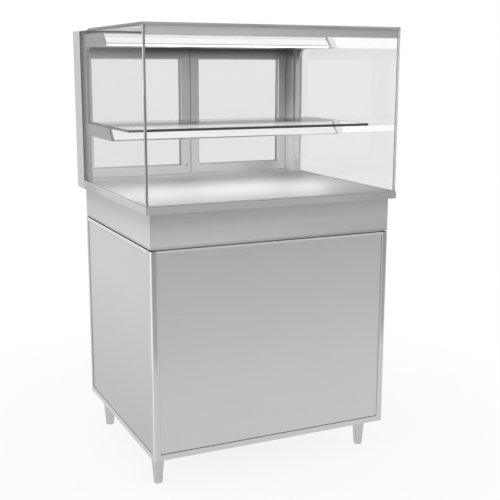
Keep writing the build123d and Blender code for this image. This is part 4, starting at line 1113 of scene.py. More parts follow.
@dataclass(frozen=True)
class Circle(Layout):
    """Copies turned evenly about an upright axis through the origin, then tilted and moved to a centre."""

    count: int
    centre: Vector
    tilt: Vector
    title = "circle"
    extra = (("Count", "NodeSocketInt"), ("Centre", "NodeSocketVector"), ("Tilt", "NodeSocketVector"))

    def values(self) -> dict[str, object]:
        """Input values by name."""
        return {"Count": self.count, "Centre": self.centre, "Tilt": self.tilt}

    def spread(self, graph: Graph, given: dict[str, Value], sample: Value) -> Value:
        """Turn each copy by its number and move the whole.

        Args:
            graph: Nodes of the layout.
            given: The layout's inputs by name.
            sample: The shape that is repeated.

        Returns:
            The copies, as instances.
        """
        sockets = {"Count": given["Count"], "Offset": (0.0, 0.0, 0.0)}
        points = graph.node("GeometryNodeMeshLine", self.LINE, sockets)
        turn = graph.node("GeometryNodeInputIndex") * (2.0 * math.pi) / given["Count"]
        rotation = graph.node("ShaderNodeCombineXYZ", inputs={"Z": turn})
        sockets = {"Points": points, "Instance": sample, "Rotation": rotation}
        ring = graph.node("GeometryNodeInstanceOnPoints", inputs=sockets)
        sockets = {"Geometry": ring, "Translation": given["Centre"], "Rotation": given["Tilt"]}
        return graph.node("GeometryNodeTransform", inputs=sockets)


@dataclass
class Pane:
    """A flat pane with ground and chamfered edges, whose rim has a finish of its own."""

    node: str
    low: Vector
    high: Vector
    body: str = CASE
    rim: Finish = RIM
    face: Finish = CLEAR
    arris: float = 0.7
    squareness: float = 0.9

    def shape(self) -> bmesh.types.BMesh:
        """Build the chamfered slab.

        Returns:
            The shape, with index 0 on its two faces and index 1 on its rim.
        """
        shape = bmesh.new()
        slab(shape, self.low, self.high, self.arris)
        size = self.high - self.low
        thin = min(range(3), key=lambda axis: size[axis])
        shape.normal_update()
        for face in shape.faces:
            face.material_index = 0 if abs(face.normal[thin]) > self.squareness else 1
        return shape

    def build(self, shop: Workshop) -> None:
        """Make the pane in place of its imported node."""
        finishes = (self.face, self.rim)
        shop.add(f"{self.node}_pane", self.shape(), finishes, self.body, "pane_glass", (self.node,))


@dataclass
class Assembly:
    """A sub-assembly, whose pieces are made in a workshop."""

    shop: Workshop

    def build(self) -> None:
        """Make every piece."""
        raise NotImplementedError


@dataclass
class GlassCase(Assembly):
    """The fixed panes of the display space and its shelf, which rests a hair above its light box."""

    pane_names: tuple[str, ...] = ("front_glass", "left_glass", "right_glass", "top_glass", "shelf_glass")
    rims: dict[str, Finish] = field(default_factory=lambda: {"top_glass": RIM, "shelf_glass": DARK_RIM})
    faces: dict[str, Finish] = field(
        default_factory=lambda: {
            "left_glass": LEFT_CLEAR,
            "right_glass": RIGHT_CLEAR,
            "shelf_glass": SHELF_CLEAR,
            "top_glass": TOP_CLEAR,
        }
    )
    lifts: dict[str, float] = field(default_factory=lambda: {"shelf_glass": 0.1})

    def build(self) -> None:
        """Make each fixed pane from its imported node's box."""
        for name in self.pane_names:
            low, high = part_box(name)
            low = low + point(0.0, 0.0, self.lifts.get(name, 0.0))
            rim, face = self.rims.get(name, PALE_RIM), self.faces.get(name, CLEAR)
            Pane(name, low, high, rim=rim, face=face).build(self.shop)


@dataclass
class RearDoors(Assembly):
    """Panes, beads, bushes, pull roses, lock and meeting seal of the two hinged glass doors.

    A bead's section gives each corner's inset from the window's edge and its reach from the pane.
    """

    pane_grip: float = 6.7
    front_bead: Outline = ((0.0, 0.0), (0.0, 6.0), (1.225, 6.0), (3.5, 1.2), (3.5, 0.0))
    back_bead: Outline = ((0.0, 0.0), (0.0, 1.6), (4.0, 0.8), (4.0, 0.0))
    rose: Outline = ((0.0, 0.0), (9.0, 0.0), (9.0, 0.8), (8.2, 1.6), (0.0, 1.6))
    rose_sides: int = 40
    bush_radius: float = 7.5
    bush_height: float = 1.7
    bush_play: float = 0.1
    bush_sides: int = 36
    seal_width: float = 0.7
    seal_inset: float = 4.0
    seal_gap: float = 3.0
    seal_arris: float = 0.2
    lock_rise: float = 2.0
    lock_front: Outline = ((0.0, 0.0), (5.0, 0.0), (5.0, 1.4), (4.0, 2.2), (0.0, 2.2))
    lock_back: Outline = (
        (0.0, 0.0),
        (7.0, 0.0),
        (7.0, 1.5),
        (6.0, 2.4),
        (4.0, 2.4),
        (4.0, 1.4),
        (0.0, 1.4),
    )
    keyway: Block = Block((-0.6, 1.2, -2.5), (0.6, 1.6, 2.5), 0.1)

    def _window(self, word: str) -> tuple[float, float, float, float]:
        """Find a door's window.

        Args:
            word: Side of the door.

        Returns:
            Low and high X, then low and high Z.
        """
        low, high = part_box(f"door_{word}_glass")
        grip = self.pane_grip * MILLIMETRE
        return low.x + grip, high.x - grip, low.z + grip, high.z - grip

    def _beads(self, word: str) -> None:
        """Make the sloped glazing bead inside the window and the flat one behind the pane.

        Args:
            word: Side of the door.
        """
        low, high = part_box(f"door_{word}_glass")
        shape = bmesh.new()
        for face, way, bead in ((low.y, -1, self.front_bead), (high.y, 1, self.back_bead)):
            section = [(inset * MILLIMETRE, face + way * reach * MILLIMETRE) for inset, reach in bead]
            moulding(shape, self._window(word), section)
        self.shop.add(f"door_{word}_beads", shape, (BEAD_STEEL,), f"rear_door_{word}")

    def _roses(self, word: str) -> None:
        """Make the two roses under a pull.

        Args:
            word: Side of the door.
        """
        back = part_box(f"door_{word}_frame")[1].y
        low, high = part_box(f"door_{word}_pull")
        middle_x, radius = (low.x + high.x) / 2, (high.x - low.x) / 2
        shape = bmesh.new()
        for z in (low.z + radius, high.z - radius):
            turned(shape, Vector((middle_x, back, z)), Y_AXIS, self.rose, self.rose_sides)
        self.shop.add(f"door_{word}_roses", shape, (BRIGHT,), f"rear_door_{word}")

    def _bushes(self, word: str) -> None:
        """Make the bushes round a door's two pins.

        Args:
            word: Side of the door.
        """
        frame_low, frame_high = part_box(f"door_{word}_frame")
        low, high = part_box(f"door_{word}_pins")
        middle = (low + high) / 2
        inner, outer = (high.x - low.x) / 2 / MILLIMETRE + self.bush_play, self.bush_radius
        shape = bmesh.new()
        for z, rise in ((frame_low.z, -self.bush_height), (frame_high.z, self.bush_height)):
            profile = ((inner, 0.0), (outer, 0.0), (outer, rise), (inner, rise))
            foot = Vector((middle.x, middle.y, z))
            turned(shape, foot, Z_AXIS, profile, self.bush_sides, closed=True)
        self.shop.add(f"door_{word}_bushes", shape, (PLASTIC,), f"rear_door_{word}")

    def _seal(self, side: int, word: str) -> None:
        """Make the seal strip at a door's meeting edge.

        Args:
            side: -1 for the left door, 1 for the right one.
            word: Side of the door.
        """
        low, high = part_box(f"door_{word}_frame")
        edge = high.x if side < 0 else low.x
        x_low, x_high = sorted((edge, edge - side * self.seal_width * MILLIMETRE))
        shrink = point(0.0, self.seal_inset, self.seal_gap)
        start, end = Vector((x_low, low.y, low.z)) + shrink, Vector((x_high, high.y, high.z)) - shrink
        shape = bmesh.new()
        slab(shape, start, end, self.seal_arris)
        self.shop.add(f"door_{word}_seal", shape, (RUBBER,), f"rear_door_{word}")

    def _lock(self) -> None:
        """Make the small lock barrel through the left door's meeting stile, low down."""
        low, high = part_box("door_left_frame")
        _, window_right, window_foot, _ = self._window("left")
        x, z = (window_right + high.x) / 2, window_foot + self.lock_rise * MILLIMETRE
        shape = bmesh.new()
        turned(shape, Vector((x, low.y, z)), -Y_AXIS, self.lock_front)
        turned(shape, Vector((x, high.y, z)), Y_AXIS, self.lock_back)
        self.keyway.add(shape, Vector((x, high.y, z)))
        self.shop.add("door_lock", shape, (BRIGHT,), "rear_door_left")

    def build(self) -> None:
        """Make everything on both doors."""
        for side, word in SIDES:
            node = f"door_{word}_glass"
            low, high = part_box(node)
            Pane(node, low, high, f"rear_door_{word}", face=DOOR_CLEAR).build(self.shop)
            self._beads(word)
            self._roses(word)
            self._bushes(word)
            self._seal(side, word)
        self._lock()


@dataclass
class Sealant(Assembly):
    """Beads of sealant along the glass joints."""

    size: float = 2.6
    hollow: float = 0.36

    def _bead(
        self, shape: bmesh.types.BMesh, start: Vector, end: Vector, first: Vector, second: Vector
    ) -> None:
        """Add one bead, lying against two faces.

        Args:
            shape: The mesh under construction.
            start: Where the faces meet at the bead's start.
            end: Where they meet at its end.
            first: Reach along one face.
            second: Reach along the other face.
        """
        section = (Vector((0, 0, 0)), first, (first + second) * self.hollow, second)
        bar(shape, [start + reach for reach in section], [end + reach for reach in section])

    def build(self) -> None:
        """Run a bead along each joint, inside and out."""
        front_low, front_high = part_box("front_glass")
        deck_low, deck_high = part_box("deck_plate")
        deck = deck_high.z
        size = self.size * MILLIMETRE
        up, back, shape = Z_AXIS * size, Y_AXIS * size, bmesh.new()
        for side, word in SIDES:
            low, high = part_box(f"{word}_glass")
            inner_x, outer_x = (high.x, low.x) if side < 0 else (low.x, high.x)
            inward = X_AXIS * -side * size
            outward = X_AXIS * side * min(size, deck_high.x - front_high.x)
            runs = (
                (inner_x, (low.y, deck), (high.y, deck), inward, up),
                (inner_x, (low.y, low.z), (low.y, high.z), inward, back),
                (inner_x, (high.y, low.z), (high.y, high.z), inward, -back),
                (inner_x, (low.y, high.z), (high.y, high.z), inward, -up),
                (outer_x, (low.y, deck), (high.y, deck), outward, up),
            )
            for x, start, end, first, second in runs:
                self._bead(shape, Vector((x, *start)), Vector((x, *end)), first, second)
        forward = Y_AXIS * -min(size, front_low.y - deck_low.y)
        for y, away in ((front_high.y, back), (front_low.y, forward)):
            start, end = Vector((front_low.x, y, deck)), Vector((front_high.x, y, deck))
            self._bead(shape, start, end, away, up)
        self.shop.add("glass_sealant", shape, (SILICONE,))


@dataclass
class Joints(Assembly):
    """Flush fillers round the inset panels and the gasket in the gap under the collar."""

    joint: float = 1.5
    setback: float = 0.35
    depth: float = 4.0
    arris: float = 0.05
    gasket_inset: float = 3.0
    gasket_width: float = 4.0

    def _filler(self, name: str, along: int, inward: int) -> None:
        """Fill the joints at the two sides and the head of a panel.

        Args:
            name: The panel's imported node.
            along: 0 where the panel runs along X, 1 where it runs along Y.
            inward: Way from its outer face into the case, 1 or -1.
        """
        low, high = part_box(name)
        joint, thin = self.joint * MILLIMETRE, 1 - along
        face = low[thin] if inward > 0 else high[thin]
        reaches = sorted(face + inward * step * MILLIMETRE for step in (self.setback, self.depth))
        runs = (
            (low[along] - joint, low[along], low.z),
            (high[along], high[along] + joint, low.z),
            (low[along], high[along], high.z),
        )
        shape = bmesh.new()
        for start, end, foot in runs:
            first, last = Vector((0, 0, foot)), Vector((0, 0, high.z + joint))
            first[along], last[along] = start, end
            first[thin], last[thin] = reaches
            slab(shape, first, last, self.arris)
        self.shop.add(f"{name}_filler", shape, (FILL_STEEL,))

    def build(self) -> None:
        """Fill the joint round each panel, then the gap under the collar."""
        for name, along, inward in (("front_panel", 0, 1), ("left_panel", 1, 1), ("right_panel", 1, -1)):
            self._filler(name, along, inward)
        low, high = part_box("well_casing")
        rail_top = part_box("top_rails")[1].z
        outer = self.gasket_inset * MILLIMETRE
        inner = outer + self.gasket_width * MILLIMETRE
        section = ((outer, rail_top), (inner, rail_top), (inner, low.z), (outer, low.z))
        shape = bmesh.new()
        moulding(shape, (low.x, high.x, low.y, high.y), section, level=True)
        self.shop.add("collar_gasket", shape, (GASKET,))


@dataclass
class Screws(Assembly):
    """Dome-head socket screws of the side plates, the rear frame, the posts and the light boxes."""

    plate_screw: DomeScrew = DomeScrew(4.0, 2.2)
    plate_rises: tuple[float, ...] = (20.0, 103.0, 380.0)
    small_screw: DomeScrew = DomeScrew(3.2, 1.5)
    frame_count: int = 6
    frame_inset: float = 30.0
    box_count: int = 5
    box_inset: float = 40.0
    box_share: float = 0.6
    post_count: int = 4
    post_inset: float = 60.0
    post_edge: float = 11.0

    def _plate_screws(self) -> None:
        """Make the screws that hold the side plates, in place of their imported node."""
        low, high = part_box("plate_screws")
        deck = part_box("deck_plate")[1].z
        shape = bmesh.new()
        for side, x in ((-1, low.x), (1, high.x)):
            foot_x = x - side * self.plate_screw.height * MILLIMETRE
            for rise in self.plate_rises:
                foot = Vector((foot_x, (low.y + high.y) / 2, deck + rise * MILLIMETRE))
                self.plate_screw.add(shape, foot, X_AXIS * side)
        self.shop.add("plate_screw_heads", shape, (BRIGHT,), slot="bright_metal", replaces=("plate_screws",))

    def _row(self, name: str, axis: Vector, start: Vector, end: Vector, count: int) -> None:
        """Make evenly spaced screws on a face.

        Args:
            name: Name of the row, less its ending.
            axis: Way that the heads point.
            start: Place of the first screw.
            end: Place of the last screw.
            count: Number of screws.
        """
        shape = bmesh.new()
        self.small_screw.add(shape, start, axis)
        layout = Rows(count, (end - start) / (count - 1))
        self.shop.adopt(f"{name}_screws", layout.mesh(shape, BRIGHT), ())

    def build(self) -> None:
        """Make all the screws."""
        self._plate_screws()
        inset = self.frame_inset * MILLIMETRE
        for node in ("rear_header", "rear_sill"):
            low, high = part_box(node)
            z = (low.z + high.z) / 2
            start, end = Vector((low.x + inset, high.y, z)), Vector((high.x - inset, high.y, z))
            self._row(node, Y_AXIS, start, end, self.frame_count)
        inset = self.box_inset * MILLIMETRE
        for node in ("shelf_light_box", "top_light_box"):
            low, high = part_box(node)
            y = low.y + self.box_share * (high.y - low.y)
            start, end = Vector((low.x + inset, y, low.z)), Vector((high.x - inset, y, low.z))
            self._row(node, -Z_AXIS, start, end, self.box_count)
        inset = self.post_inset * MILLIMETRE
        posts_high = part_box("corner_posts")[1]
        for side, word in SIDES:
            low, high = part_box(f"service_door_{word}")
            x, y = side * (posts_high.x - self.post_edge * MILLIMETRE), posts_high.y
            start, end = Vector((x, y, low.z + inset)), Vector((x, y, high.z - inset))
            self._row(f"post_{word}", Y_AXIS, start, end, self.post_count)


@dataclass
class Controls(Assembly):
    """Display, keys and switch marks on the rear wall of the collar."""

    lens: Block = Block((-16.5, -1.0, -8.5), (16.5, -0.3, 8.5), 0.2)
    figures: str = "25"
    figure_width: float = 5.5
    figure_height: float = 10.0
    figure_start: Triple = (9.5, -0.3, -5.0)
    figure_step: float = 10.0
    bar_half: float = 0.35
    bar_end: float = 0.14
    bar_depth: float = 0.15
    bar_arris: float = 0.05
    point_start: Triple = (1.9, -0.3, -5.0)
    point_profile: Outline = ((0.0, 0.0), (0.5, 0.0), (0.5, 0.15), (0.0, 0.15))
    point_sides: int = 12
    key_start: Triple = (-27.5, 0.0, -6.5)
    key_spread: tuple[float, float] = (55.0, 13.0)
    key_profile: Outline = ((0.0, 0.0), (2.6, 0.0), (2.6, 0.5), (2.1, 0.9), (0.0, 1.0))
    round_sides: int = 28
    rocker_tilt: float = 10.0
    rocker_depth: float = 1.8
    rocker_crown: float = 3.0
    mark_reach: float = 6.5
    mark_half: tuple[float, float] = (0.35, 1.9)
    mark_span: tuple[float, float] = (-0.2, 0.12)
    ring_radii: tuple[float, float] = (1.4, 1.9)

    SEGMENTS = {"2": "abged", "5": "afgcd"}
    BARS = {
        "a": (0, 1, 1, 1),
        "b": (1, 0.5, 1, 1),
        "c": (1, 0, 1, 0.5),
        "d": (0, 0, 1, 0),
        "e": (0, 0, 0, 0.5),
        "f": (0, 0.5, 0, 1),
        "g": (0, 0.5, 1, 0.5),
    }

    def _figure(self, shape: bmesh.types.BMesh, figure: str, foot: Vector) -> None:
        """Add the lit bars of one figure, read from behind the case.

        Args:
            shape: The mesh under construction.
            figure: The figure.
            foot: Its lower corner on the reader's left.
        """
        for letter in self.SEGMENTS[figure]:
            x_start, z_start, x_end, z_end = self.BARS[letter]
            xs = sorted((-x_start * self.figure_width, -x_end * self.figure_width))
            zs = (z_start * self.figure_height, z_end * self.figure_height)
            level = z_start == z_end
            wide, tall = (-self.bar_end, self.bar_half) if level else (self.bar_half, -self.bar_end)
            low = (xs[0] - wide, 0.0, zs[0] - tall)
            high = (xs[1] + wide, self.bar_depth, zs[1] + tall)
            Block(low, high, self.bar_arris).add(shape, foot)

    def _display(self, spot: Vector) -> None:
        """Make the lens and the lit figures behind it.

        Args:
            spot: Middle of the controller's face.
        """
        shape = bmesh.new()
        self.lens.add(shape, spot)
        self.shop.add("display_lens", shape, (LENS,))
        shape = bmesh.new()
        for number, figure in enumerate(self.figures):
            shift = point(-self.figure_step * number, 0.0, 0.0)
            self._figure(shape, figure, spot + point(*self.figure_start) + shift)
        turned(shape, spot + point(*self.point_start), Y_AXIS, self.point_profile, self.point_sides)
        self.shop.add("display_figures", shape, (FIGURES,))

    def _keys(self, spot: Vector) -> None:
        """Make the two keys at each side of the display.

        Args:
            spot: Middle of the controller's face.
        """
        shape = bmesh.new()
        turned(shape, spot + point(*self.key_start), Y_AXIS, self.key_profile, self.round_sides)
        across, up = self.key_spread
        layout = Rows(2, point(across, 0.0, 0.0), 2, point(0.0, 0.0, up))
        self.shop.adopt("controller_keys", layout.mesh(shape, MARKS), ())

    def _line(self, shape: bmesh.types.BMesh, spot: Vector, normal: Vector, along: Vector) -> None:
        """Add the line that stands for on.

        Args:
            shape: The mesh under construction.
            spot: Middle of the line on the rocker's face.
            normal: Way out of the face.
            along: Way along the line.
        """
        half_x, half_z = self.mark_half
        section = [
            (X_AXIS * x + along * z) * MILLIMETRE
            for x, z in ((-half_x, -half_z), (half_x, -half_z), (half_x, half_z), (-half_x, half_z))
        ]
        inner, outer = (spot + normal * depth * MILLIMETRE for depth in self.mark_span)
        bar(shape, [inner + reach for reach in section], [outer + reach for reach in section])

    def _marks(self, word: str) -> None:
        """Make the line and ring on the two ends of a rocker, the usual on and off signs.

        Args:
            word: Which rocker.
        """
        low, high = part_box(f"{word}_rocker")
        housing_low, housing_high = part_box("switch_housings")
        middle_x, middle_z = (low.x + high.x) / 2, (housing_low.z + housing_high.z) / 2
        pivot = Vector((middle_x, housing_high.y - self.rocker_depth * MILLIMETRE, middle_z))
        tilt = math.radians(self.rocker_tilt)
        forward = Vector((0, math.cos(tilt), math.sin(tilt)))
        upward = Vector((0, -math.sin(tilt), math.cos(tilt)))
        inner, outer = self.ring_radii
        sunk, proud = self.mark_span
        ring = ((inner, sunk), (outer, sunk), (outer, proud), (inner, proud))
        shape = bmesh.new()
        for place in (self.mark_reach, -self.mark_reach):
            slope = math.copysign(math.sin(tilt), place)
            normal = (forward - upward * slope).normalized()
            along = (upward + forward * slope).normalized()
            rise = self.rocker_crown + place * slope
            spot = pivot + (forward * rise + upward * place) * MILLIMETRE
            if place > 0:
                self._line(shape, spot, normal, along)
            else:
                turned(shape, spot, normal, ring, self.round_sides, closed=True)
        self.shop.add(f"{word}_marks", shape, (MARKS,), f"{word}_rocker")

    def build(self) -> None:
        """Make the display and its keys, then the marks of the switches."""
        low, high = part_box("controller")
        spot = Vector(((low.x + high.x) / 2, high.y, (low.z + high.z) / 2))
        self._display(spot)
        self._keys(spot)
        for word in ("power", "light"):
            self._marks(word)


@dataclass
class CoolingUnit(Assembly):
    """Fine parts of the condensing unit: fins, fan guard, bolts and the compressor's terminal box."""

    fin_count: int = 129
    fin_margin: float = 31.7
    fin_thickness: float = 0.3
    fin_inset: float = 1.0
    fin_arris: float = 0.02
    guard_radii: tuple[float, ...] = (34.0, 48.0, 62.0, 76.0, 90.0, 103.0)
    guard_gap: float = 1.3
    guard_sides: int = 64
    wire_radius: float = 1.1
    wire_sides: int = 8
    spoke_count: int = 8
    spoke_length: float = 74.0
    spoke_sides: int = 10
    bolt_inset: float = 11.0
    bolt_rise: float = 4.0
    bolt: Outline = ((0.0, 0.0), (8.5, 0.0), (8.5, 1.6), (5.5, 1.6), (5.5, 7.0), (4.8, 7.8), (0.0, 7.8))
    bolt_sides: int = 24
    shell_reach: float = 78.0
    box_blocks: tuple[Block, ...] = (
        Block((-30.0, -28.0, -12.0), (12.0, 28.0, 48.0), 3.0),
        Block((-32.5, -18.0, -2.0), (-29.5, 18.0, 38.0), 1.0),
    )
    clip_blocks: tuple[Block, ...] = (
        Block((-34.5, -3.0, -16.0), (-33.3, 3.0, 52.0), 0.3),
        Block((-34.5, -3.0, 50.5), (20.0, 3.0, 52.0), 0.3),
    )
    sleeve_reach: float = 26.0
    sleeve: Outline = ((4.8, -4.0), (7.5, -4.0), (7.5, 3.0), (6.2, 9.0), (4.8, 9.0))

    def _fins(self) -> None:
        """Make the fins between the condenser's end plates."""
        low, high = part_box("condenser")
        margin, inset = self.fin_margin * MILLIMETRE, self.fin_inset * MILLIMETRE
        start = Vector((low.x + margin, low.y + inset, low.z + inset))
        end = Vector((start.x + self.fin_thickness * MILLIMETRE, high.y - inset, high.z - inset))
        fin = bmesh.new()
        slab(fin, start, end, self.fin_arris)
        step = X_AXIS * ((high.x - low.x - 2 * margin) / (self.fin_count - 1))
        self.shop.adopt("condenser_fins", Rows(self.fin_count, step).mesh(fin, FIN_METAL), ())

    def _guard(self) -> None:
        """Make the wire guard on the fan ring: rings on spokes."""
        low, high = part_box("fan_shroud")
        front = low.y - self.guard_gap * MILLIMETRE
        centre = Vector(((low.x + high.x) / 2, front, (low.z + high.z) / 2))
        wire = self.wire_radius
        turns = [2 * math.pi * step / self.wire_sides for step in range(self.wire_sides)]
        shape = bmesh.new()
        for radius in self.guard_radii:
            profile = [(radius + wire * math.cos(turn), wire * math.sin(turn)) for turn in turns]
            turned(shape, centre, Y_AXIS, profile, self.guard_sides, closed=True)
        self.shop.add("fan_guard_rings", shape, (BRIGHT,))
        spoke = bmesh.new()
        profile = ((0.0, 0.0), (wire, 0.0), (wire, self.spoke_length), (0.0, self.spoke_length))
        turned(spoke, point(self.guard_radii[0], 0, 0), X_AXIS, profile, self.spoke_sides)
        layout = Circle(self.spoke_count, centre, X_AXIS * math.radians(90.0))
        self.shop.adopt("fan_guard_spokes", layout.mesh(spoke, BRIGHT), ())

    def _bolts(self) -> None:
        """Make the compressor's foot bolts."""
        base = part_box("compressor")[0].z
        low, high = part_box("compressor_grommets")
        inset = self.bolt_inset * MILLIMETRE
        bolt = bmesh.new()
        foot = Vector((low.x + inset, low.y + inset, base + self.bolt_rise * MILLIMETRE))
        turned(bolt, foot, Z_AXIS, self.bolt, self.bolt_sides)
        along, across = X_AXIS * (high.x - low.x - 2 * inset), Y_AXIS * (high.y - low.y - 2 * inset)
        self.shop.adopt("compressor_bolts", Rows(2, along, 2, across).mesh(bolt, ZINC), ())

    def _terminals(self) -> None:
        """Make the terminal box with its clip, and the sleeves where the pipes enter."""
        low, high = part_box("compressor")
        middle = (low + high) / 2
        shell = middle - X_AXIS * self.shell_reach * MILLIMETRE
        shape = bmesh.new()
        for block in self.box_blocks:
            block.add(shape, shell)
        self.shop.add("terminal_box", shape, (PLASTIC,))
        shape = bmesh.new()
        for block in self.clip_blocks:
            block.add(shape, shell)
        self.shop.add("terminal_clip", shape, (BRIGHT,))
        shape = bmesh.new()
        for side, _ in SIDES:
            x = middle.x + side * self.sleeve_reach * MILLIMETRE
            turned(shape, Vector((x, middle.y, high.z)), Z_AXIS, self.sleeve, closed=True)
        self.shop.add("pipe_sleeves", shape, (COPPER,))

    def build(self) -> None:
        """Make every fine part of the unit."""
        self._fins()
        self._guard()
        self._bolts()
        self._terminals()


def dress_nodes(shop: Workshop) -> None:
    """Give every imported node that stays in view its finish.

    Args:
        shop: Where the nodes are kept.
    """
    shop.dress(PANEL_STEEL, "front_panel", "service_door_left", "service_door_right")
    shop.dress(SIDE_STEEL, "left_panel", "right_panel")
    shop.dress(COLLAR_STEEL, "well_casing")
    shop.dress(FRAME_STEEL, "corner_posts")
    shop.dress(COLUMN_STEEL, "rear_columns")
    shop.dress(RAIL_STEEL, "top_rails", "bottom_rails", "top_cap")
    shop.dress(SILL_STEEL, "rear_sill")
    shop.dress(HEAD_STEEL, "rear_header")
    shop.dress(DECK_STEEL, "deck_plate")
    shop.dress(DOOR_STEEL, "door_left_frame", "door_right_frame")
    shop.dress(PLATE_STEEL, "side_plate_left", "side_plate_right")
    shop.dress(BAND, "front_band")
    shop.dress(OPAL, "shelf_diffuser")
    shop.dress(OPAL_PAINTED_SEAM_LIGHT, "top_diffuser")
    shop.dress(BOX_STEEL, "shelf_light_box", "top_light_box")
    feet = [f"foot_{end}_{word}" for end in ("front", "rear") for _, word in SIDES]
    shop.dress(LEG_STEEL, "legs", *feet)
    shop.dress(BRIGHT, "door_left_pull", "door_right_pull", "door_left_pins", "door_right_pins")
    shop.dress(BRIGHT, "service_knob_left", "service_knob_right")
    shop.dress(ZINC, "base_floor", "leg_bearers", "unit_skid", "fan_shroud")
    shop.dress(ENAMEL, "compressor", "fan_motor")
    shop.dress(PLASTIC, "controller", "switch_housings", "cable_gland", "power_rocker", "light_rocker")
    shop.dress(RUBBER, "compressor_grommets")
    shop.dress(FIN_METAL, "condenser", "fan_blades")
    shop.dress(COPPER, "evaporator_coil", "refrigerant_pipes", "filter_drier")
    shop.dress(FOAM, "well_insulation")


@dataclass(frozen=True)
class Lamp:
    """A soft flat lamp aimed at a spot, which isn't seen through glass."""

    name: str
    place: Triple
    aim: Triple
    width: float
    depth: float
    power: float

    def build(self) -> None:
        """Add the lamp."""
        light = bpy.data.lights.new(self.name, "AREA")
        light.shape = "RECTANGLE"
        light.size = self.width
        light.size_y = self.depth
        light.energy = self.power
        lamp = placed(self.name, light)
        toward = Vector(self.aim) - Vector(self.place)
        turn = toward.to_track_quat("-Z", "Y").to_matrix().to_4x4()
        lamp.matrix_world = Matrix.Translation(self.place) @ turn
        lamp.visible_transmission = False


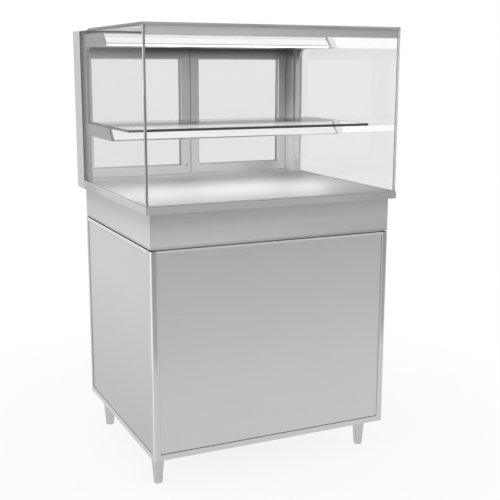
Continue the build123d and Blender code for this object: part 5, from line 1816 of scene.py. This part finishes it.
@dataclass
class Studio:
    """Pale floor, white surroundings, soft lamps and the camera of the photograph.

    Args:
        ambient: Light that the surroundings give the case.
        dark_end: How much dimmer their customer-side end is in mirroring surfaces.
        fade_start: Where the floor starts to dim in them, in metres from the middle.
        fade_length: Over how many metres it does.
        floor_colour: The floor's own colour.
        floor_half: Half the floor's width, in metres.
        shadow_share: Share of the shadow that the floor keeps near the case.
        shadow_reach: Distance at which nothing of it is left, in metres.
        key_lamp: The main lamp.
        shelf_power: Power of the lamp under the shelf's light box.
        shelf_inset: Its distance from that box's front, in metres.
        shelf_drop: Its distance from that box's underside, and how far it leans forward at the floor.
        shelf_depth: Its size from front to rear, in metres.
        camera_place: The camera's place, in metres.
        camera_turn: Its turn about Z, in degrees.
        camera_dip: Its dip below the horizontal, in degrees.
        camera_roll: Its roll about its own axis, in degrees.
        camera_lens: Focal length in millimetres.
        camera_sensor: Width of the picture in the camera, in millimetres.
    """

    ambient: float = 0.72
    dark_end: float = 0.48
    fade_start: float = 1.4
    fade_length: float = 4.0
    floor_colour: Triple = (0.93, 0.93, 0.93)
    floor_half: float = 40.0
    shadow_share: float = 0.2
    shadow_reach: float = 1.5
    key_lamp: Lamp = Lamp("key_lamp", (-3.0, -1.3, 1.9), (0.0, 0.0, 0.8), width=4.0, depth=3.4, power=40.0)
    shelf_power: float = 0.95
    shelf_inset: float = 0.06
    shelf_drop: float = 0.001
    shelf_depth: float = 0.115
    camera_place: Triple = (-1.2484, -2.8624, 1.298)
    camera_turn: float = -25.0
    camera_dip: float = 11.457
    camera_roll: float = 0.148
    camera_lens: float = 66.05
    camera_sensor: float = 36.0

    @staticmethod
    def _looked_at(graph: Graph) -> Value:
        """1 for rays that show the surroundings: straight, mirrored or through glass."""
        return graph.rays("Camera", "Glossy", "Transmission")

    def surroundings(self) -> None:
        """White world for what is looked at, a softer one that lights the case, and a dimmer front end."""
        world = bpy.data.worlds.new("studio")
        graph = emptied(world)
        front_end = (0.0 - graph.along("Y", "Generated")).at_least(0.0) * self.dark_end
        lit = self.ambient + (1.0 - self.ambient) * self._looked_at(graph)
        white = {"Color": (1.0, 1.0, 1.0, 1.0), "Strength": lit - graph.rays("Glossy") * front_end}
        sky = graph.node("ShaderNodeBackground", inputs=white)
        graph.node("ShaderNodeOutputWorld", inputs={"Surface": sky})
        bpy.context.scene.world = world

    def _floor_material(self) -> bpy.types.Material:
        """Make the floor's material.

        Returns:
            A matte that keeps the shadow near the case, and a plain white far off.
        """
        material = bpy.data.materials.new("studio_floor")
        graph = emptied(material)
        spot = graph.node("ShaderNodeTexCoord", output="Object")
        away = graph.node("ShaderNodeVectorMath", {"operation": "LENGTH"}, {0: spot}, output="Value")
        near = (1.0 - away / self.shadow_reach).at_least(0.0)
        white = self._looked_at(graph) * (1.0 - self.shadow_share * near)
        matte = graph.node("ShaderNodeBsdfDiffuse", inputs={"Color": (*self.floor_colour, 1.0)})
        faded = (0.0 - graph.along("Y")).between(self.fade_start, self.fade_start + self.fade_length)
        strength = 1.0 - graph.rays("Glossy") * faded * self.dark_end
        plain = graph.node("ShaderNodeEmission", inputs={"Strength": strength})
        mixed = graph.node("ShaderNodeMixShader", inputs={0: white, 1: matte, 2: plain})
        graph.node("ShaderNodeOutputMaterial", inputs={"Surface": mixed})
        return material

    def floor(self) -> None:
        """Wide pale floor under the case."""
        shape = bmesh.new()
        bmesh.ops.create_grid(shape, x_segments=1, y_segments=1, size=self.floor_half)
        mesh = bpy.data.meshes.new("studio_floor")
        shape.to_mesh(mesh)
        shape.free()
        mesh.materials.append(self._floor_material())
        plane = placed("studio_floor", mesh)

    def lamps(self) -> None:
        """Main lamp, and a lamp under the shelf's light box that shines on the deck."""
        self.key_lamp.build()
        low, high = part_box("shelf_light_box")
        y = low.y + self.shelf_inset
        place, aim = (0.0, y, low.z - self.shelf_drop), (0.0, y - self.shelf_drop, 0.0)
        Lamp("shelf_lamp", place, aim, high.x - low.x, self.shelf_depth, self.shelf_power).build()

    def camera(self) -> None:
        """Camera at the photograph's viewing angle."""
        data = bpy.data.cameras.new("camera")
        data.lens = self.camera_lens
        data.sensor_width = self.camera_sensor
        camera = placed("camera", data)
        turn = Matrix.Rotation(math.radians(self.camera_turn), 4, "Z")
        dip = Matrix.Rotation(math.radians(90.0 - self.camera_dip), 4, "X")
        roll = Matrix.Rotation(math.radians(self.camera_roll), 4, "Z")
        camera.matrix_world = Matrix.Translation(self.camera_place) @ turn @ dip @ roll
        bpy.context.scene.camera = camera

    def build(self) -> None:
        """Set up the whole studio."""
        self.surroundings()
        self.floor()
        self.camera()
        self.lamps()
        bpy.context.scene.view_settings.view_transform = "Standard"
        LOG.info("studio ready")


def main() -> None:
    """Load the frame, dress it, and set the stage."""
    logging.basicConfig(level=logging.INFO, format="%(name)s: %(message)s")
    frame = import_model()
    shop = Workshop(frame["nodes"])
    dress_nodes(shop)
    for assembly in (GlassCase, RearDoors, Sealant, Joints, Screws, Controls, CoolingUnit):
        assembly(shop).build()
    Studio().build()


if __name__ == "__main__":
    main()
